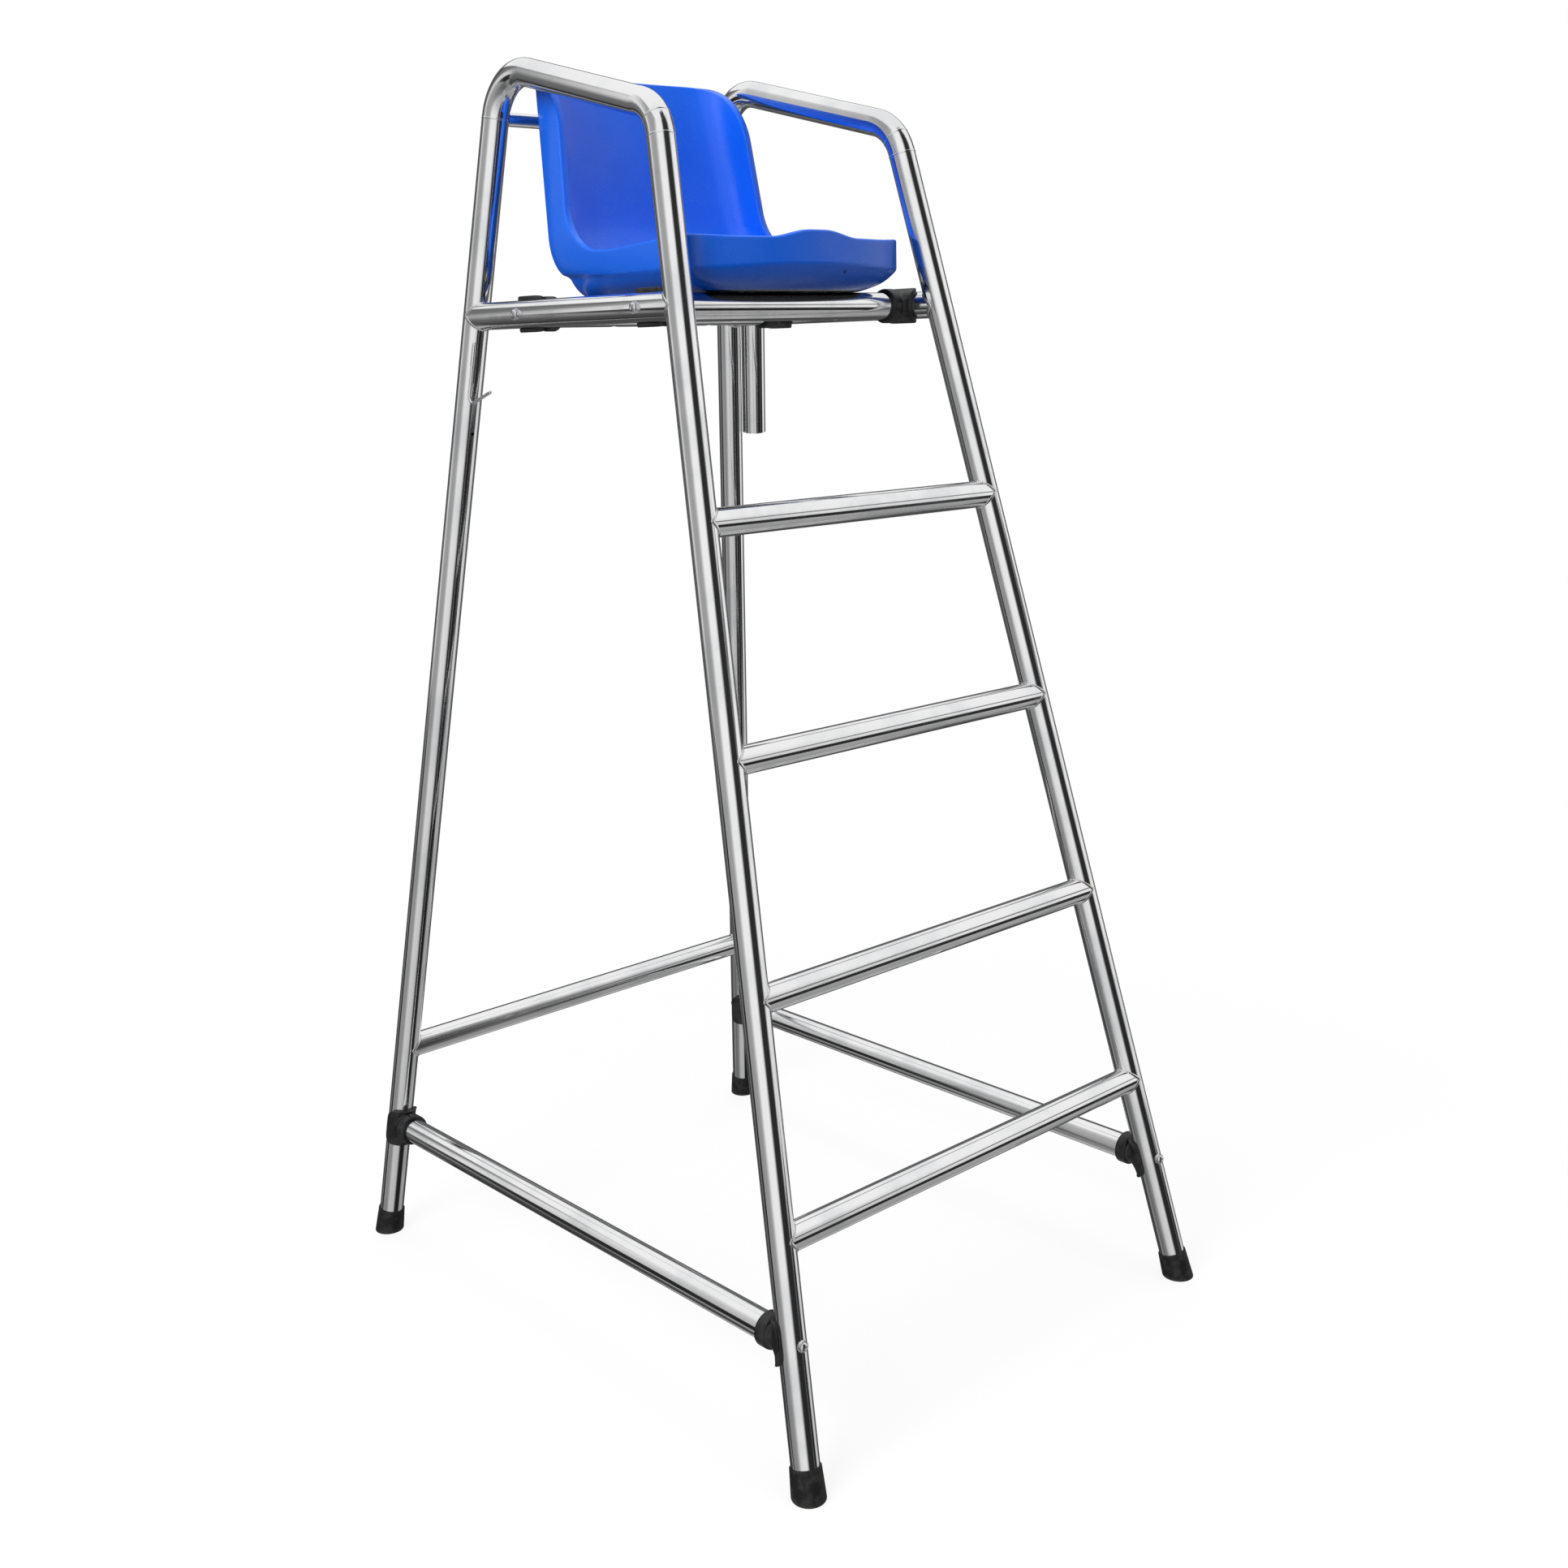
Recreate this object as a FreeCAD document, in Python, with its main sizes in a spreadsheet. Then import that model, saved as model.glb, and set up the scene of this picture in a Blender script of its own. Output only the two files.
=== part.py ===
import FreeCAD, Part
import math
import os

import Sketcher
from FreeCAD import Placement, Rotation, Vector

# A lifeguard chair of polished steel tube with a moulded bucket seat.
# It faces -Y, so its rungs are on the -Y side, and it stands on the floor at z = 0.
# Left is -X and right is +X. Lengths are in millimetres and angles in degrees.

doc = FreeCAD.newDocument("LifeguardChair")
sheet = doc.addObject("Spreadsheet::Sheet", "Sizes")

SIZES = [
    ("tube_diameter", 40.0, "frame tube, outside"),
    ("tube_wall", 1.5, "wall of every tube"),
    ("base_half_width", 412.0, "leg axis to the middle plane at the floor"),
    ("base_half_depth", 533.0, "leg axis to the chair's middle at the floor"),
    ("side_lean_angle", 5.9, "inward lean of each side frame"),
    ("front_rake_angle", 13.4, "backward slope of the front legs"),
    ("rear_rake_angle", 8.0, "forward slope of the rear legs"),
    ("arm_rear_height", 1890.0, "where the arm's axis meets the rear leg's axis"),
    ("arm_front_height", 1793.0, "where the arm's axis meets the front leg's axis"),
    ("arm_bend_radius", 65.0, "bend of the armrest, on its axis"),
    ("arm_straight_end", 2.0, "straight tube between a bend and the joint below it"),
    ("ring_length", 16.0, "backing ring inside an armrest joint"),
    ("ring_wall", 2.0, "wall of the backing ring"),
    ("ring_clearance", 0.05, "between backing ring and tube"),
    ("first_rung_height", 329.0, "axis of the lowest rung"),
    ("rung_pitch", 308.0, "height from rung to rung"),
    ("side_stretcher_height", 202.0, "axis of the side stretchers"),
    ("rear_stretcher_height", 342.0, "axis of the rear stretcher"),
    ("rail_height", 1535.0, "axis of the seat rails and cross tubes"),
    ("back_bar_drop", 73.0, "axis of the bar behind the seat, below the arm's rear corner"),
    ("back_bar_diameter", 20.0, "bar behind the seat, outside"),
    ("cross_front_inset", 70.3, "front cross tube behind the front leg's axis at the rail"),
    ("cross_spacing", 280.0, "from one cross tube to the other, as between the seat's bolts"),
    ("weld_gap", 0.05, "between a coped tube end and the tube it meets"),
    ("saddle_length", 62.0, "connector's saddle, along the tube it sits on"),
    ("saddle_wall", 5.0, "wall of the connector's saddle"),
    ("saddle_clearance", 0.05, "between saddle and tube"),
    ("neck_radius", 21.5, "outside of the connector's neck"),
    ("cup_reach", 48.0, "cup's mouth to the axis of the tube it sits on"),
    ("cup_height", 15.0, "thick cup at the neck's end"),
    ("cup_proud", 3.8, "cup beyond the neck"),
    ("socket_depth", 12.0, "how far a tube goes into the cup"),
    ("socket_clearance", 0.1, "between cup and tube"),
    ("end_clearance", 0.3, "between a tube's end and the cup's floor"),
    ("web_thickness", 16.0, "gusset between saddle and cup"),
    ("plug_length", 25.0, "threaded plug in a tube's end"),
    ("plug_clearance", 0.05, "between plug and tube"),
    ("bolt_radius", 4.0, "connector bolt's shank"),
    ("bolt_hole_radius", 4.3, "hole for a connector bolt"),
    ("bolt_length", 75.0, "connector bolt, under its head"),
    ("bolt_head_radius", 7.0, "connector bolt's dome"),
    ("bolt_head_height", 4.4, "connector bolt's dome"),
    ("washer_height", 3.0, "curved washer, tube's crest to bolt head"),
    ("washer_proud", 1.0, "washer beyond the bolt head"),
    ("thread_clearance", 0.05, "between a bolt and its thread"),
    ("foot_height", 43.0, "rubber foot, along the leg"),
    ("foot_top_radius", 21.9, "rubber foot's upper end"),
    ("foot_floor_radius", 24.3, "rubber foot on the floor"),
    ("foot_clearance", 0.1, "between foot and leg"),
    ("leg_start", 16.0, "leg's lower end from the floor, along the leg"),
    ("foot_edge_radius", 2.0, "rounding of the foot's lower edge"),
    ("clearing", 10.0, "by which a cutting outline passes the seat"),
    ("cutting_margin", 1.0, "by which an outline stays off a side that it mustn't cut"),
    ("seat_half_width", 209.0, "seat's front corners from the middle plane"),
    ("seat_rear_half_width", 198.0, "seat's rear corners from the middle plane, below the back"),
    ("seat_corner_radius", 30.0, "outer corners seen from above"),
    ("seat_front_reach", 180.0, "seat's front corners from its bolt centre"),
    ("seat_front_bow", 38.0, "front edge's bow beyond the corners"),
    ("seat_rear_reach", 174.0, "seat's rear corners from its bolt centre, above the rounding"),
    ("seat_rear_bow", 16.0, "bow of the back beyond its edges"),
    ("seat_hollow_bow", 4.0, "further bow of the hollow at the back"),
    ("seat_base_half_width", 148.0, "flat underside"),
    ("seat_base_rear_half_width", 140.0, "flat underside's rear corners from the middle plane"),
    ("seat_base_front", 156.0, "flat underside's front from the bolt centre"),
    ("seat_base_rear", 150.0, "flat underside's rear from the bolt centre"),
    ("seat_bulge_height", 17.0, "step of the underside's rounded slope"),
    ("seat_bulge_share", 0.72, "how far out the slope is at that step"),
    ("seat_facet_height", 32.0, "where the underside's slope meets the rim"),
    ("seat_facet_rear", 150.0, "rear corners at the top of the underside's slope"),
    ("seat_facet_rear_half_width", 178.0, "rear corners there, from the middle plane"),
    ("seat_tail_height", 95.0, "top of the rounding below the back"),
    ("seat_rim_width", 12.0, "thickness of the rim"),
    ("seat_lip_width", 24.0, "level top of the front rim"),
    ("seat_inner_radius", 38.0, "corners of the hollow seen from above"),
    ("seat_pan_height", 30.0, "pan's floor over the underside"),
    ("seat_pan_front_rise", 12.0, "pan's rise to the front rim"),
    ("seat_pan_front_bend", 120.0, "bend in the middle of the pan"),
    ("seat_pan_rear_inset", 60.0, "pan's rear end ahead of the flat underside's"),
    ("seat_pan_rear_bend", 70.0, "bend from the pan to the slope behind it"),
    ("seat_pan_rear_angle", 35.5, "slope between the pan and the back"),
    ("seat_back_height", 331.0, "seat's underside to its top edge"),
    ("seat_top_rear", 214.0, "rear corners at the top edge's height"),
    ("seat_top_half_width", 180.0, "half width of the back at its top"),
    ("seat_top_corner", 10.0, "rounding of the back's top corners"),
    ("seat_wing_foot", 104.0, "front of the wings at the side rim, from the bolt centre"),
    ("seat_wing_top", 142.0, "front of the wings at the top, from the bolt centre"),
    ("seat_wing_sweep", 76.0, "curve from the side rim up to the wing"),
    ("seat_wing_rise", 3.0, "side rim's rise to the foot of the wing"),
    ("seat_wing_tip_radius", 105.0, "rounding of the wing's top"),
    ("seat_rim_low", 65.0, "lowest part of the side rim"),
    ("seat_rim_low_forward", 5.0, "lowest part of the side rim, ahead of the bolt centre"),
    ("seat_rim_low_radius", 180.0, "bend of the side rim at its lowest part"),
    ("seat_rim_front", 76.0, "side rim at the front corner"),
    ("seat_rim_front_setback", 5.0, "side rim's bend behind the front corner"),
    ("seat_rim_front_radius", 60.0, "bend of the rim behind the front corner and in its channels"),
    ("seat_pommel_height", 82.0, "hump in the middle of the front rim"),
    ("seat_channel_height", 72.0, "front rim beside the hump"),
    ("seat_pommel_half_width", 70.0, "half width of the hump"),
    ("seat_pommel_crown_share", 0.4, "level top of the hump, of its width"),
    ("seat_pommel_radius", 45.0, "bends of the hump"),
    ("seat_channel_width", 75.0, "beside the hump, before the rim climbs to its corner"),
    ("seat_gap", 0.1, "between seat and cross tubes"),
    ("seat_bolt_half_spacing", 95.0, "seat bolts from the middle plane"),
    ("seat_bolt_radius", 3.0, "seat bolt's shank"),
    ("seat_bolt_hole_radius", 3.3, "hole for a seat bolt"),
    ("seat_bolt_grip", 14.0, "seat bolt's engagement in the seat"),
    ("seat_bolt_head_radius", 5.2, "seat bolt's dome"),
    ("seat_bolt_head_height", 3.3, "seat bolt's dome"),
    ("seat_washer_height", 1.6, "seat bolt's washer at its edge, inside the cross tube"),
    ("seat_access_radius", 8.0, "hole below a seat bolt, for its washer, head and key"),
    ("insert_radius", 5.0, "threaded insert in the seat"),
    ("insert_length", 16.0, "threaded insert in the seat"),
    ("insert_clearance", 0.05, "between insert and seat"),
    ("vent_radius", 2.5, "moulding vent in the seat's front"),
    ("vent_depth", 20.0, "moulding vent's floor, behind the front edge's foremost line"),
    ("vent_height", 25.6, "moulding vent over the seat's underside"),
    ("vent_offset", 57.0, "moulding vent from the middle plane"),
    ("holder_below", 201.0, "umbrella tube below the rail's axis, along it"),
    ("holder_above", 60.0, "umbrella tube above the rail's axis, along it"),
    ("holder_forward", 16.0, "umbrella tube's axis ahead of the rear leg's"),
    ("holder_gap", 0.2, "between umbrella tube and seat rail"),
    ("hook_rod_diameter", 5.0, "rod of the hook"),
    ("hook_top_height", 1497.0, "upper end of the hook's rod"),
    ("hook_drop", 76.0, "straight rod down to the hook's bend"),
    ("hook_bend_radius", 11.0, "bend at the bottom of the hook"),
    ("hook_tip_length", 44.0, "slanted tip of the hook"),
    ("hook_tip_angle", 28.0, "tip's slope over level"),
    ("hook_side_angle", 32.0, "rod's place round the leg, outward from the front"),
    ("hook_gap", 0.05, "between rod and leg"),
    ("lanyard_hole_radius", 2.5, "hole in the front of the left rear leg"),
    ("lanyard_hole_height", 1361.0, "hole in the left rear leg"),
]
for row, (alias, value, note) in enumerate(SIZES, start=1):
    sheet.set("A%d" % row, alias)
    sheet.set("B%d" % row, str(value))
    sheet.set("C%d" % row, note)
    sheet.setAlias("B%d" % row, alias)
doc.recompute()


def size(alias):
    """The value of one cell of the sheet."""
    return float(sheet.get(alias))


TUBE_RADIUS = size("tube_diameter") / 2
TUBE_RADIUS_CELL = "Sizes.tube_diameter / 2"
TUBE_BORE_CELL = "Sizes.tube_diameter / 2 - Sizes.tube_wall"
SEAT_WASHER_LEVEL_CELL = (
    "(sqrt((Sizes.tube_diameter / 2 - Sizes.tube_wall) ^ 2"
    " - (Sizes.seat_bolt_head_radius + Sizes.washer_proud) ^ 2) - Sizes.seat_washer_height)"
)
LEFT = -1
RIGHT = 1
SIDES = (("left", LEFT), ("right", RIGHT))
ENDS = ("front", "rear")
FORWARD = Vector(0, -1, 0)
UP = Vector(0, 0, 1)
RUNG_COUNT = 4
# A bolt's dome, from its top to its edge: shares of the head's radius and of its height.
DOME_SHARES = ((0.45, 1.0), (0.78, 0.78), (0.95, 0.42), (1.0, 0.12))
KEY_RADIUS_SHARE = 0.36
KEY_DEPTH_SHARE = 0.6
sub_parts = []


def keep(obj, name):
    """Names an object as a sub-part, whose solid is written to a file of that name."""
    obj.Label = name
    sub_parts.append(obj)
    return obj


# Places on the frame


def leg_point(side, end, height):
    """The point of a leg's axis at a height over the floor."""
    x = side * (size("base_half_width") - math.tan(math.radians(size("side_lean_angle"))) * height)
    if end == "front":
        y = -size("base_half_depth") + math.tan(math.radians(size("front_rake_angle"))) * height
    else:
        y = size("base_half_depth") - math.tan(math.radians(size("rear_rake_angle"))) * height
    return Vector(x, y, height)


def leg_direction(side, end):
    """The unit vector up a leg's axis."""
    direction = leg_point(side, end, 1.0) - leg_point(side, end, 0.0)
    return direction.normalize()


def rail_point(side, y):
    """The point of a seat rail's axis at a distance along Y."""
    point = leg_point(side, "rear", size("rail_height"))
    return Vector(point.x, y, point.z)


def cross_tube_y(end):
    """The Y of a cross tube: the front one is behind the front legs, the rear one a spacing on."""
    front = leg_point(RIGHT, "front", size("rail_height")).y + size("cross_front_inset")
    return front if end == "front" else front + size("cross_spacing")


def frame_along(origin, z_axis, x_hint):
    """A placement whose Z runs along z_axis and whose X is as near to x_hint as it can be."""
    z_axis = Vector(z_axis).normalize()
    y_axis = z_axis.cross(x_hint).normalize()
    x_axis = y_axis.cross(z_axis)
    return Placement(origin, Rotation(x_axis, y_axis, z_axis, "ZXY"))


def any_normal(direction):
    """A vector that isn't parallel to the direction, to set a frame by."""
    return Vector(1, 0, 0) if abs(direction.x) < 0.7 * direction.Length else Vector(0, 1, 0)


# Solids made of primitives


def cylinder(name, start, direction, length, radius_cell):
    """A cylinder from a point along a direction, its radius bound to the sheet."""
    rod = doc.addObject("Part::Cylinder", name)
    rod.setExpression("Radius", radius_cell)
    rod.Height = length
    rod.Placement = frame_along(start, direction, any_normal(direction))
    return rod


def fuse(name, shapes):
    """One solid of several that overlap."""
    joined = doc.addObject("Part::MultiFuse", name)
    joined.Shapes = shapes
    joined.Refine = True
    return joined


def cut(name, base, tools):
    """A solid with one or more tools taken away."""
    tool = tools[0] if len(tools) == 1 else fuse(name + "_tools", tools)
    result = doc.addObject("Part::Cut", name)
    result.Base = base
    result.Tool = tool
    return result


def tube(name, start, end, tools=(), radius_cell=TUBE_RADIUS_CELL, bore_cell=TUBE_BORE_CELL):
    """A tube from one point to another, with its bore and the tools taken away."""
    run = end - start
    spare = run.normalize() * 1.0
    blank = cylinder(name + "_blank", start, end - start, (end - start).Length, radius_cell)
    bore = cylinder(name + "_bore", start - spare, end - start, (end - start).Length + 2.0, bore_cell)
    return cut(name + "_solid", blank, [bore, *tools])


def cope_tool(name, point, direction, gap="Sizes.weld_gap"):
    """The space of a crossing tube, taken from a tube's end so that it fits round it."""
    reach = 3 * size("tube_diameter")
    start = point - Vector(direction).normalize() * reach
    return cylinder(name, start, direction, 2 * reach, TUBE_RADIUS_CELL + " + " + gap)


def bolt_hole(name, point, direction):
    """A connector bolt's hole through both walls of a tube."""
    reach = size("tube_diameter")
    start = point - Vector(direction).normalize() * reach
    return cylinder(name, start, direction, 2 * reach, "Sizes.bolt_hole_radius")


# Sketches and bodies


def body_named(name, placement=None):
    """An empty body at a placement."""
    body = doc.addObject("PartDesign::Body", name)
    if placement is not None:
        body.Placement = placement
    return body


def sketch_on(body, name, role):
    """A sketch on one of the body's own origin planes."""
    sketch = body.newObject("Sketcher::SketchObject", name)
    plane = [item for item in body.Origin.OriginFeatures if item.Role == role][0]
    sketch.AttachmentSupport = (plane, [""])
    sketch.MapMode = "FlatFace"
    return sketch


def add_circle(sketch, radius_cell, start_radius):
    """A circle round the sketch's origin, its radius bound to the sheet."""
    circle = Part.Circle(Vector(0, 0, 0), Vector(0, 0, 1), start_radius)
    index = sketch.addGeometry(circle, False)
    sketch.addConstraint(Sketcher.Constraint("Coincident", index, 3, -1, 1))
    bound = sketch.addConstraint(Sketcher.Constraint("Radius", index, start_radius))
    sketch.setExpression("Constraints[%d]" % bound, radius_cell)


def add_outline(sketch, corners):
    """A closed outline of straight edges. Each corner is a pair of cell expressions."""
    doc.recompute()
    places = []
    for across, along in corners:
        places.append(Vector(evaluate(sketch, across), evaluate(sketch, along), 0))
    count = len(places)
    for i in range(count):
        sketch.addGeometry(Part.LineSegment(places[i], places[(i + 1) % count]), False)
    for i in range(count):
        sketch.addConstraint(Sketcher.Constraint("Coincident", i, 2, (i + 1) % count, 1))
    for i, (across, along) in enumerate(corners):
        for kind, cell, value, axis in (
            ("DistanceX", across, places[i].x, -2),
            ("DistanceY", along, places[i].y, -1),
        ):
            if cell == "0":
                sketch.addConstraint(Sketcher.Constraint("PointOnObject", i, 1, axis))
                continue
            bound = sketch.addConstraint(Sketcher.Constraint(kind, -1, 1, i, 1, value))
            sketch.setExpression("Constraints[%d]" % bound, cell)


def add_path(sketch, edges):
    """An open run of lines and arcs, each held to the end of the one before it."""
    for edge in edges:
        sketch.addGeometry(edge, False)
    for i in range(len(edges) - 1):
        for last in (1, 2):
            for first in (1, 2):
                if sketch.getPoint(i, last).isEqual(sketch.getPoint(i + 1, first), 1e-6):
                    sketch.addConstraint(Sketcher.Constraint("Coincident", i, last, i + 1, first))


def evaluate(obj, cell):
    """The value of a cell expression, as a number of millimetres."""
    value = obj.evalExpression(cell)
    return float(getattr(value, "Value", value))


def axis_of(body, role):
    """One of the body's own origin axes."""
    return [item for item in body.Origin.OriginFeatures if item.Role == role][0]


def revolve(body, sketch, name):
    """A solid turned from a sketch about the body's Z axis."""
    turned = body.newObject("PartDesign::Revolution", name)
    turned.Profile = sketch
    turned.ReferenceAxis = (axis_of(body, "Z_Axis"), [""])
    turned.Angle = 360.0
    return turned


# Legs, rungs and other welded tubes


def arm_joint(side, end):
    """Where an armrest's end meets its leg: past the bend and the short straight end."""
    corner = leg_point(side, end, size("arm_%s_height" % end))
    other = "front" if end == "rear" else "rear"
    along_arm = (leg_point(side, other, size("arm_%s_height" % other)) - corner).normalize()
    turn = math.pi - along_arm.getAngle(leg_direction(side, end) * -1)
    tangent = size("arm_bend_radius") * math.tan(turn / 2)
    return corner - leg_direction(side, end) * (tangent + size("arm_straight_end"))


def stretcher_direction(end):
    """From a leg along its side stretcher."""
    return Vector(0, 1, 0) if end == "front" else Vector(0, -1, 0)


def make_legs():
    """The four legs, each with the hole for its connector's bolt."""
    for side_name, side in SIDES:
        for end in ENDS:
            name = "%s_leg_%s" % (end, side_name)
            start = leg_point(side, end, 0.0) + leg_direction(side, end) * size("leg_start")
            holes = [
                bolt_hole(
                    name + "_bolt_hole",
                    leg_point(side, end, size("side_stretcher_height")),
                    stretcher_direction(end),
                )
            ]
            if end == "rear" and side == LEFT:
                place = leg_point(side, end, size("lanyard_hole_height"))
                reach = size("tube_diameter")
                cell = "Sizes.lanyard_hole_radius"
                holes.append(cylinder(name + "_lanyard_hole", place, FORWARD, reach, cell))
            keep(tube(name, start, arm_joint(side, end), holes), name)


def coped_tube(name, start, end, start_axis, end_axis, **cells):
    """A tube between two crossing tubes, cut at both ends to fit round them."""
    tools = [
        cope_tool(name + "_cope_start", start, start_axis),
        cope_tool(name + "_cope_end", end, end_axis),
    ]
    return keep(tube(name, start, end, tools, **cells), name)


def make_cross_members():
    """The rungs, the rear stretcher and the back bar, welded from side to side."""
    levels = []
    for i in range(RUNG_COUNT):
        height = size("first_rung_height") + i * size("rung_pitch")
        levels.append(("rung_%d" % (i + 1), "front", height, {}))
    levels.append(("rear_stretcher", "rear", size("rear_stretcher_height"), {}))
    bar_cells = {
        "radius_cell": "Sizes.back_bar_diameter / 2",
        "bore_cell": "Sizes.back_bar_diameter / 2 - Sizes.tube_wall",
    }
    bar_height = size("arm_rear_height") - size("back_bar_drop")
    levels.append(("back_bar", "rear", bar_height, bar_cells))
    for name, end, height, cells in levels:
        coped_tube(
            name,
            leg_point(LEFT, end, height),
            leg_point(RIGHT, end, height),
            leg_direction(LEFT, end),
            leg_direction(RIGHT, end),
            **cells
        )


def make_seat_rails():
    """The two seat rails, welded between the legs and drilled for the seat connectors."""
    for side_name, side in SIDES:
        name = "seat_rail_" + side_name
        rear = leg_point(side, "rear", size("rail_height"))
        front = leg_point(side, "front", size("rail_height"))
        tools = [
            cope_tool(name + "_cope_rear", rear, leg_direction(side, "rear")),
            cope_tool(name + "_cope_front", front, leg_direction(side, "front")),
        ]
        for end in ENDS:
            place = rail_point(side, cross_tube_y(end))
            tools.append(bolt_hole(name + "_bolt_hole_" + end, place, Vector(1, 0, 0)))
        keep(tube(name, rear, front, tools), name)


# Armrests and the rings in their joints


def make_armrests():
    """The bent armrest tubes. Each runs up from the rear leg, forward, and down to the front leg."""
    for side_name, side in SIDES:
        name = "armrest_" + side_name
        rear_up = leg_direction(side, "rear")
        rear_corner = leg_point(side, "rear", size("arm_rear_height"))
        front_corner = leg_point(side, "front", size("arm_front_height"))
        along = (front_corner - rear_corner).normalize()
        body = body_named(name, frame_along(arm_joint(side, "rear"), rear_up, along))
        to_local = body.Placement.inverse()
        stations = [arm_joint(side, "rear"), rear_corner, front_corner, arm_joint(side, "front")]
        flat = [to_local.multVec(point) for point in stations]
        path = sketch_on(body, name + "_path", "XZ_Plane")
        add_path(path, rounded_path([Vector(p.x, p.z, 0) for p in flat], size("arm_bend_radius")))
        section = sketch_on(body, name + "_section", "XY_Plane")
        add_circle(section, TUBE_RADIUS_CELL, TUBE_RADIUS)
        add_circle(section, TUBE_BORE_CELL, TUBE_RADIUS - size("tube_wall"))
        pipe = body.newObject("PartDesign::AdditivePipe", name + "_pipe")
        pipe.Profile = section
        pipe.Spine = (path, [])
        keep(body, name)
        for end in ENDS:
            make_joint_ring(side_name, side, end)


def rounded_path(corners, radius):
    """Straight runs between corners, joined by arcs of one radius that are tangent to them."""
    edges = []
    start = corners[0]
    for before, corner, after in zip(corners, corners[1:], corners[2:]):
        back = (before - corner).normalize()
        ahead = (after - corner).normalize()
        half = back.getAngle(ahead) / 2
        tangent = radius / math.tan(half)
        middle = (back + ahead).normalize()
        centre = corner + middle * (radius / math.sin(half))
        arc_start = corner + back * tangent
        arc_end = corner + ahead * tangent
        edges.append(Part.LineSegment(start, arc_start))
        edges.append(Part.Arc(arc_start, centre - middle * radius, arc_end))
        start = arc_end
    edges.append(Part.LineSegment(start, corners[-1]))
    return edges


def make_joint_ring(side_name, side, end):
    """The ring inside the joint of an armrest and its leg, half of it in each."""
    direction = leg_direction(side, end)
    half = direction * (size("ring_length") / 2)
    joint = arm_joint(side, end)
    outside = TUBE_BORE_CELL + " - Sizes.ring_clearance"
    name = "joint_ring_%s_%s" % (end, side_name)
    ring = tube(name, joint - half, joint + half, (), outside, outside + " - Sizes.ring_wall")
    keep(ring, name)


# Saddle connectors, their plugs, bolts and washers


def make_connector(name, place, host_direction, reach_direction):
    """A black moulded connector: a saddle on one tube, and a neck and a cup for the end of another."""
    reach = Vector(reach_direction).normalize()
    host = Vector(host_direction).normalize()
    across = host.cross(reach).normalize()
    outward = across.cross(host).normalize()
    half_length = host * (size("saddle_length") / 2)
    saddle_cell = TUBE_RADIUS_CELL + " + Sizes.saddle_wall"
    saddle = cylinder(name + "_saddle", place - half_length, host, size("saddle_length"), saddle_cell)
    far_side = doc.addObject("Part::Box", name + "_far_side")
    block = 4 * size("cup_reach")
    far_side.Length = block
    far_side.Width = block
    far_side.Height = block
    far_frame = frame_along(place - outward * block, outward, host)
    far_side.Placement = Placement(
        far_frame.multVec(Vector(-block / 2, -block / 2, 0)), far_frame.Rotation
    )
    half_saddle = cut(name + "_half_saddle", saddle, [far_side])
    neck = cylinder(name + "_neck", place, reach, size("cup_reach"), "Sizes.neck_radius")
    cup_start = place + reach * (size("cup_reach") - size("cup_height"))
    cup_cell = "Sizes.neck_radius + Sizes.cup_proud"
    cup = cylinder(name + "_cup", cup_start, reach, size("cup_height"), cup_cell)
    gusset = make_gusset(name + "_gusset", place, host, reach)
    blank = fuse(name + "_blank", [half_saddle, neck, cup, gusset])
    host_space = cope_tool(name + "_host", place, host, "Sizes.saddle_clearance")
    socket_start = place + reach * (size("cup_reach") - size("socket_depth"))
    socket_cell = TUBE_RADIUS_CELL + " + Sizes.socket_clearance"
    socket = cylinder(name + "_socket", socket_start, reach, size("cup_reach"), socket_cell)
    hole = cylinder(name + "_bolt_hole", place, reach, size("cup_reach"), "Sizes.bolt_hole_radius")
    return keep(cut(name + "_solid", blank, [host_space, socket, hole]), name)


def make_gusset(name, place, host, reach):
    """A web in the plane of the two tubes, as long as the saddle and narrowing to the neck."""
    web = doc.addObject("Part::Wedge", name)
    for side, sign in (("min", "-"), ("max", "")):
        web.setExpression("X" + side, sign + "Sizes.saddle_length / 2")
        web.setExpression("X2" + side, sign + "Sizes.neck_radius")
        web.setExpression("Z" + side, sign + "Sizes.web_thickness / 2")
        web.setExpression("Z2" + side, sign + "Sizes.web_thickness / 2")
    web.Ymin = 0
    web.setExpression("Ymax", "Sizes.cup_reach - Sizes.cup_height / 2")
    across = host.cross(reach).normalize()
    outward = across.cross(host).normalize()
    web.Placement = Placement(place, Rotation(host, outward, host.cross(outward), "ZXY"))
    return web


def socket_floor():
    """From a host tube's axis to the end of the tube that its connector holds."""
    return size("cup_reach") - size("socket_depth") + size("end_clearance")


def connector_places():
    """Name, place, host tube's direction and reach of all eight connectors."""
    places = []
    for side_name, side in SIDES:
        for end in ENDS:
            tail = "%s_%s" % (end, side_name)
            leg_place = leg_point(side, end, size("side_stretcher_height"))
            places.append(
                ("stretcher", tail, leg_place, leg_direction(side, end), stretcher_direction(end))
            )
            rail_place = rail_point(side, cross_tube_y(end))
            places.append(("seat", tail, rail_place, Vector(0, 1, 0), Vector(-side, 0, 0)))
    return places


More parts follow.
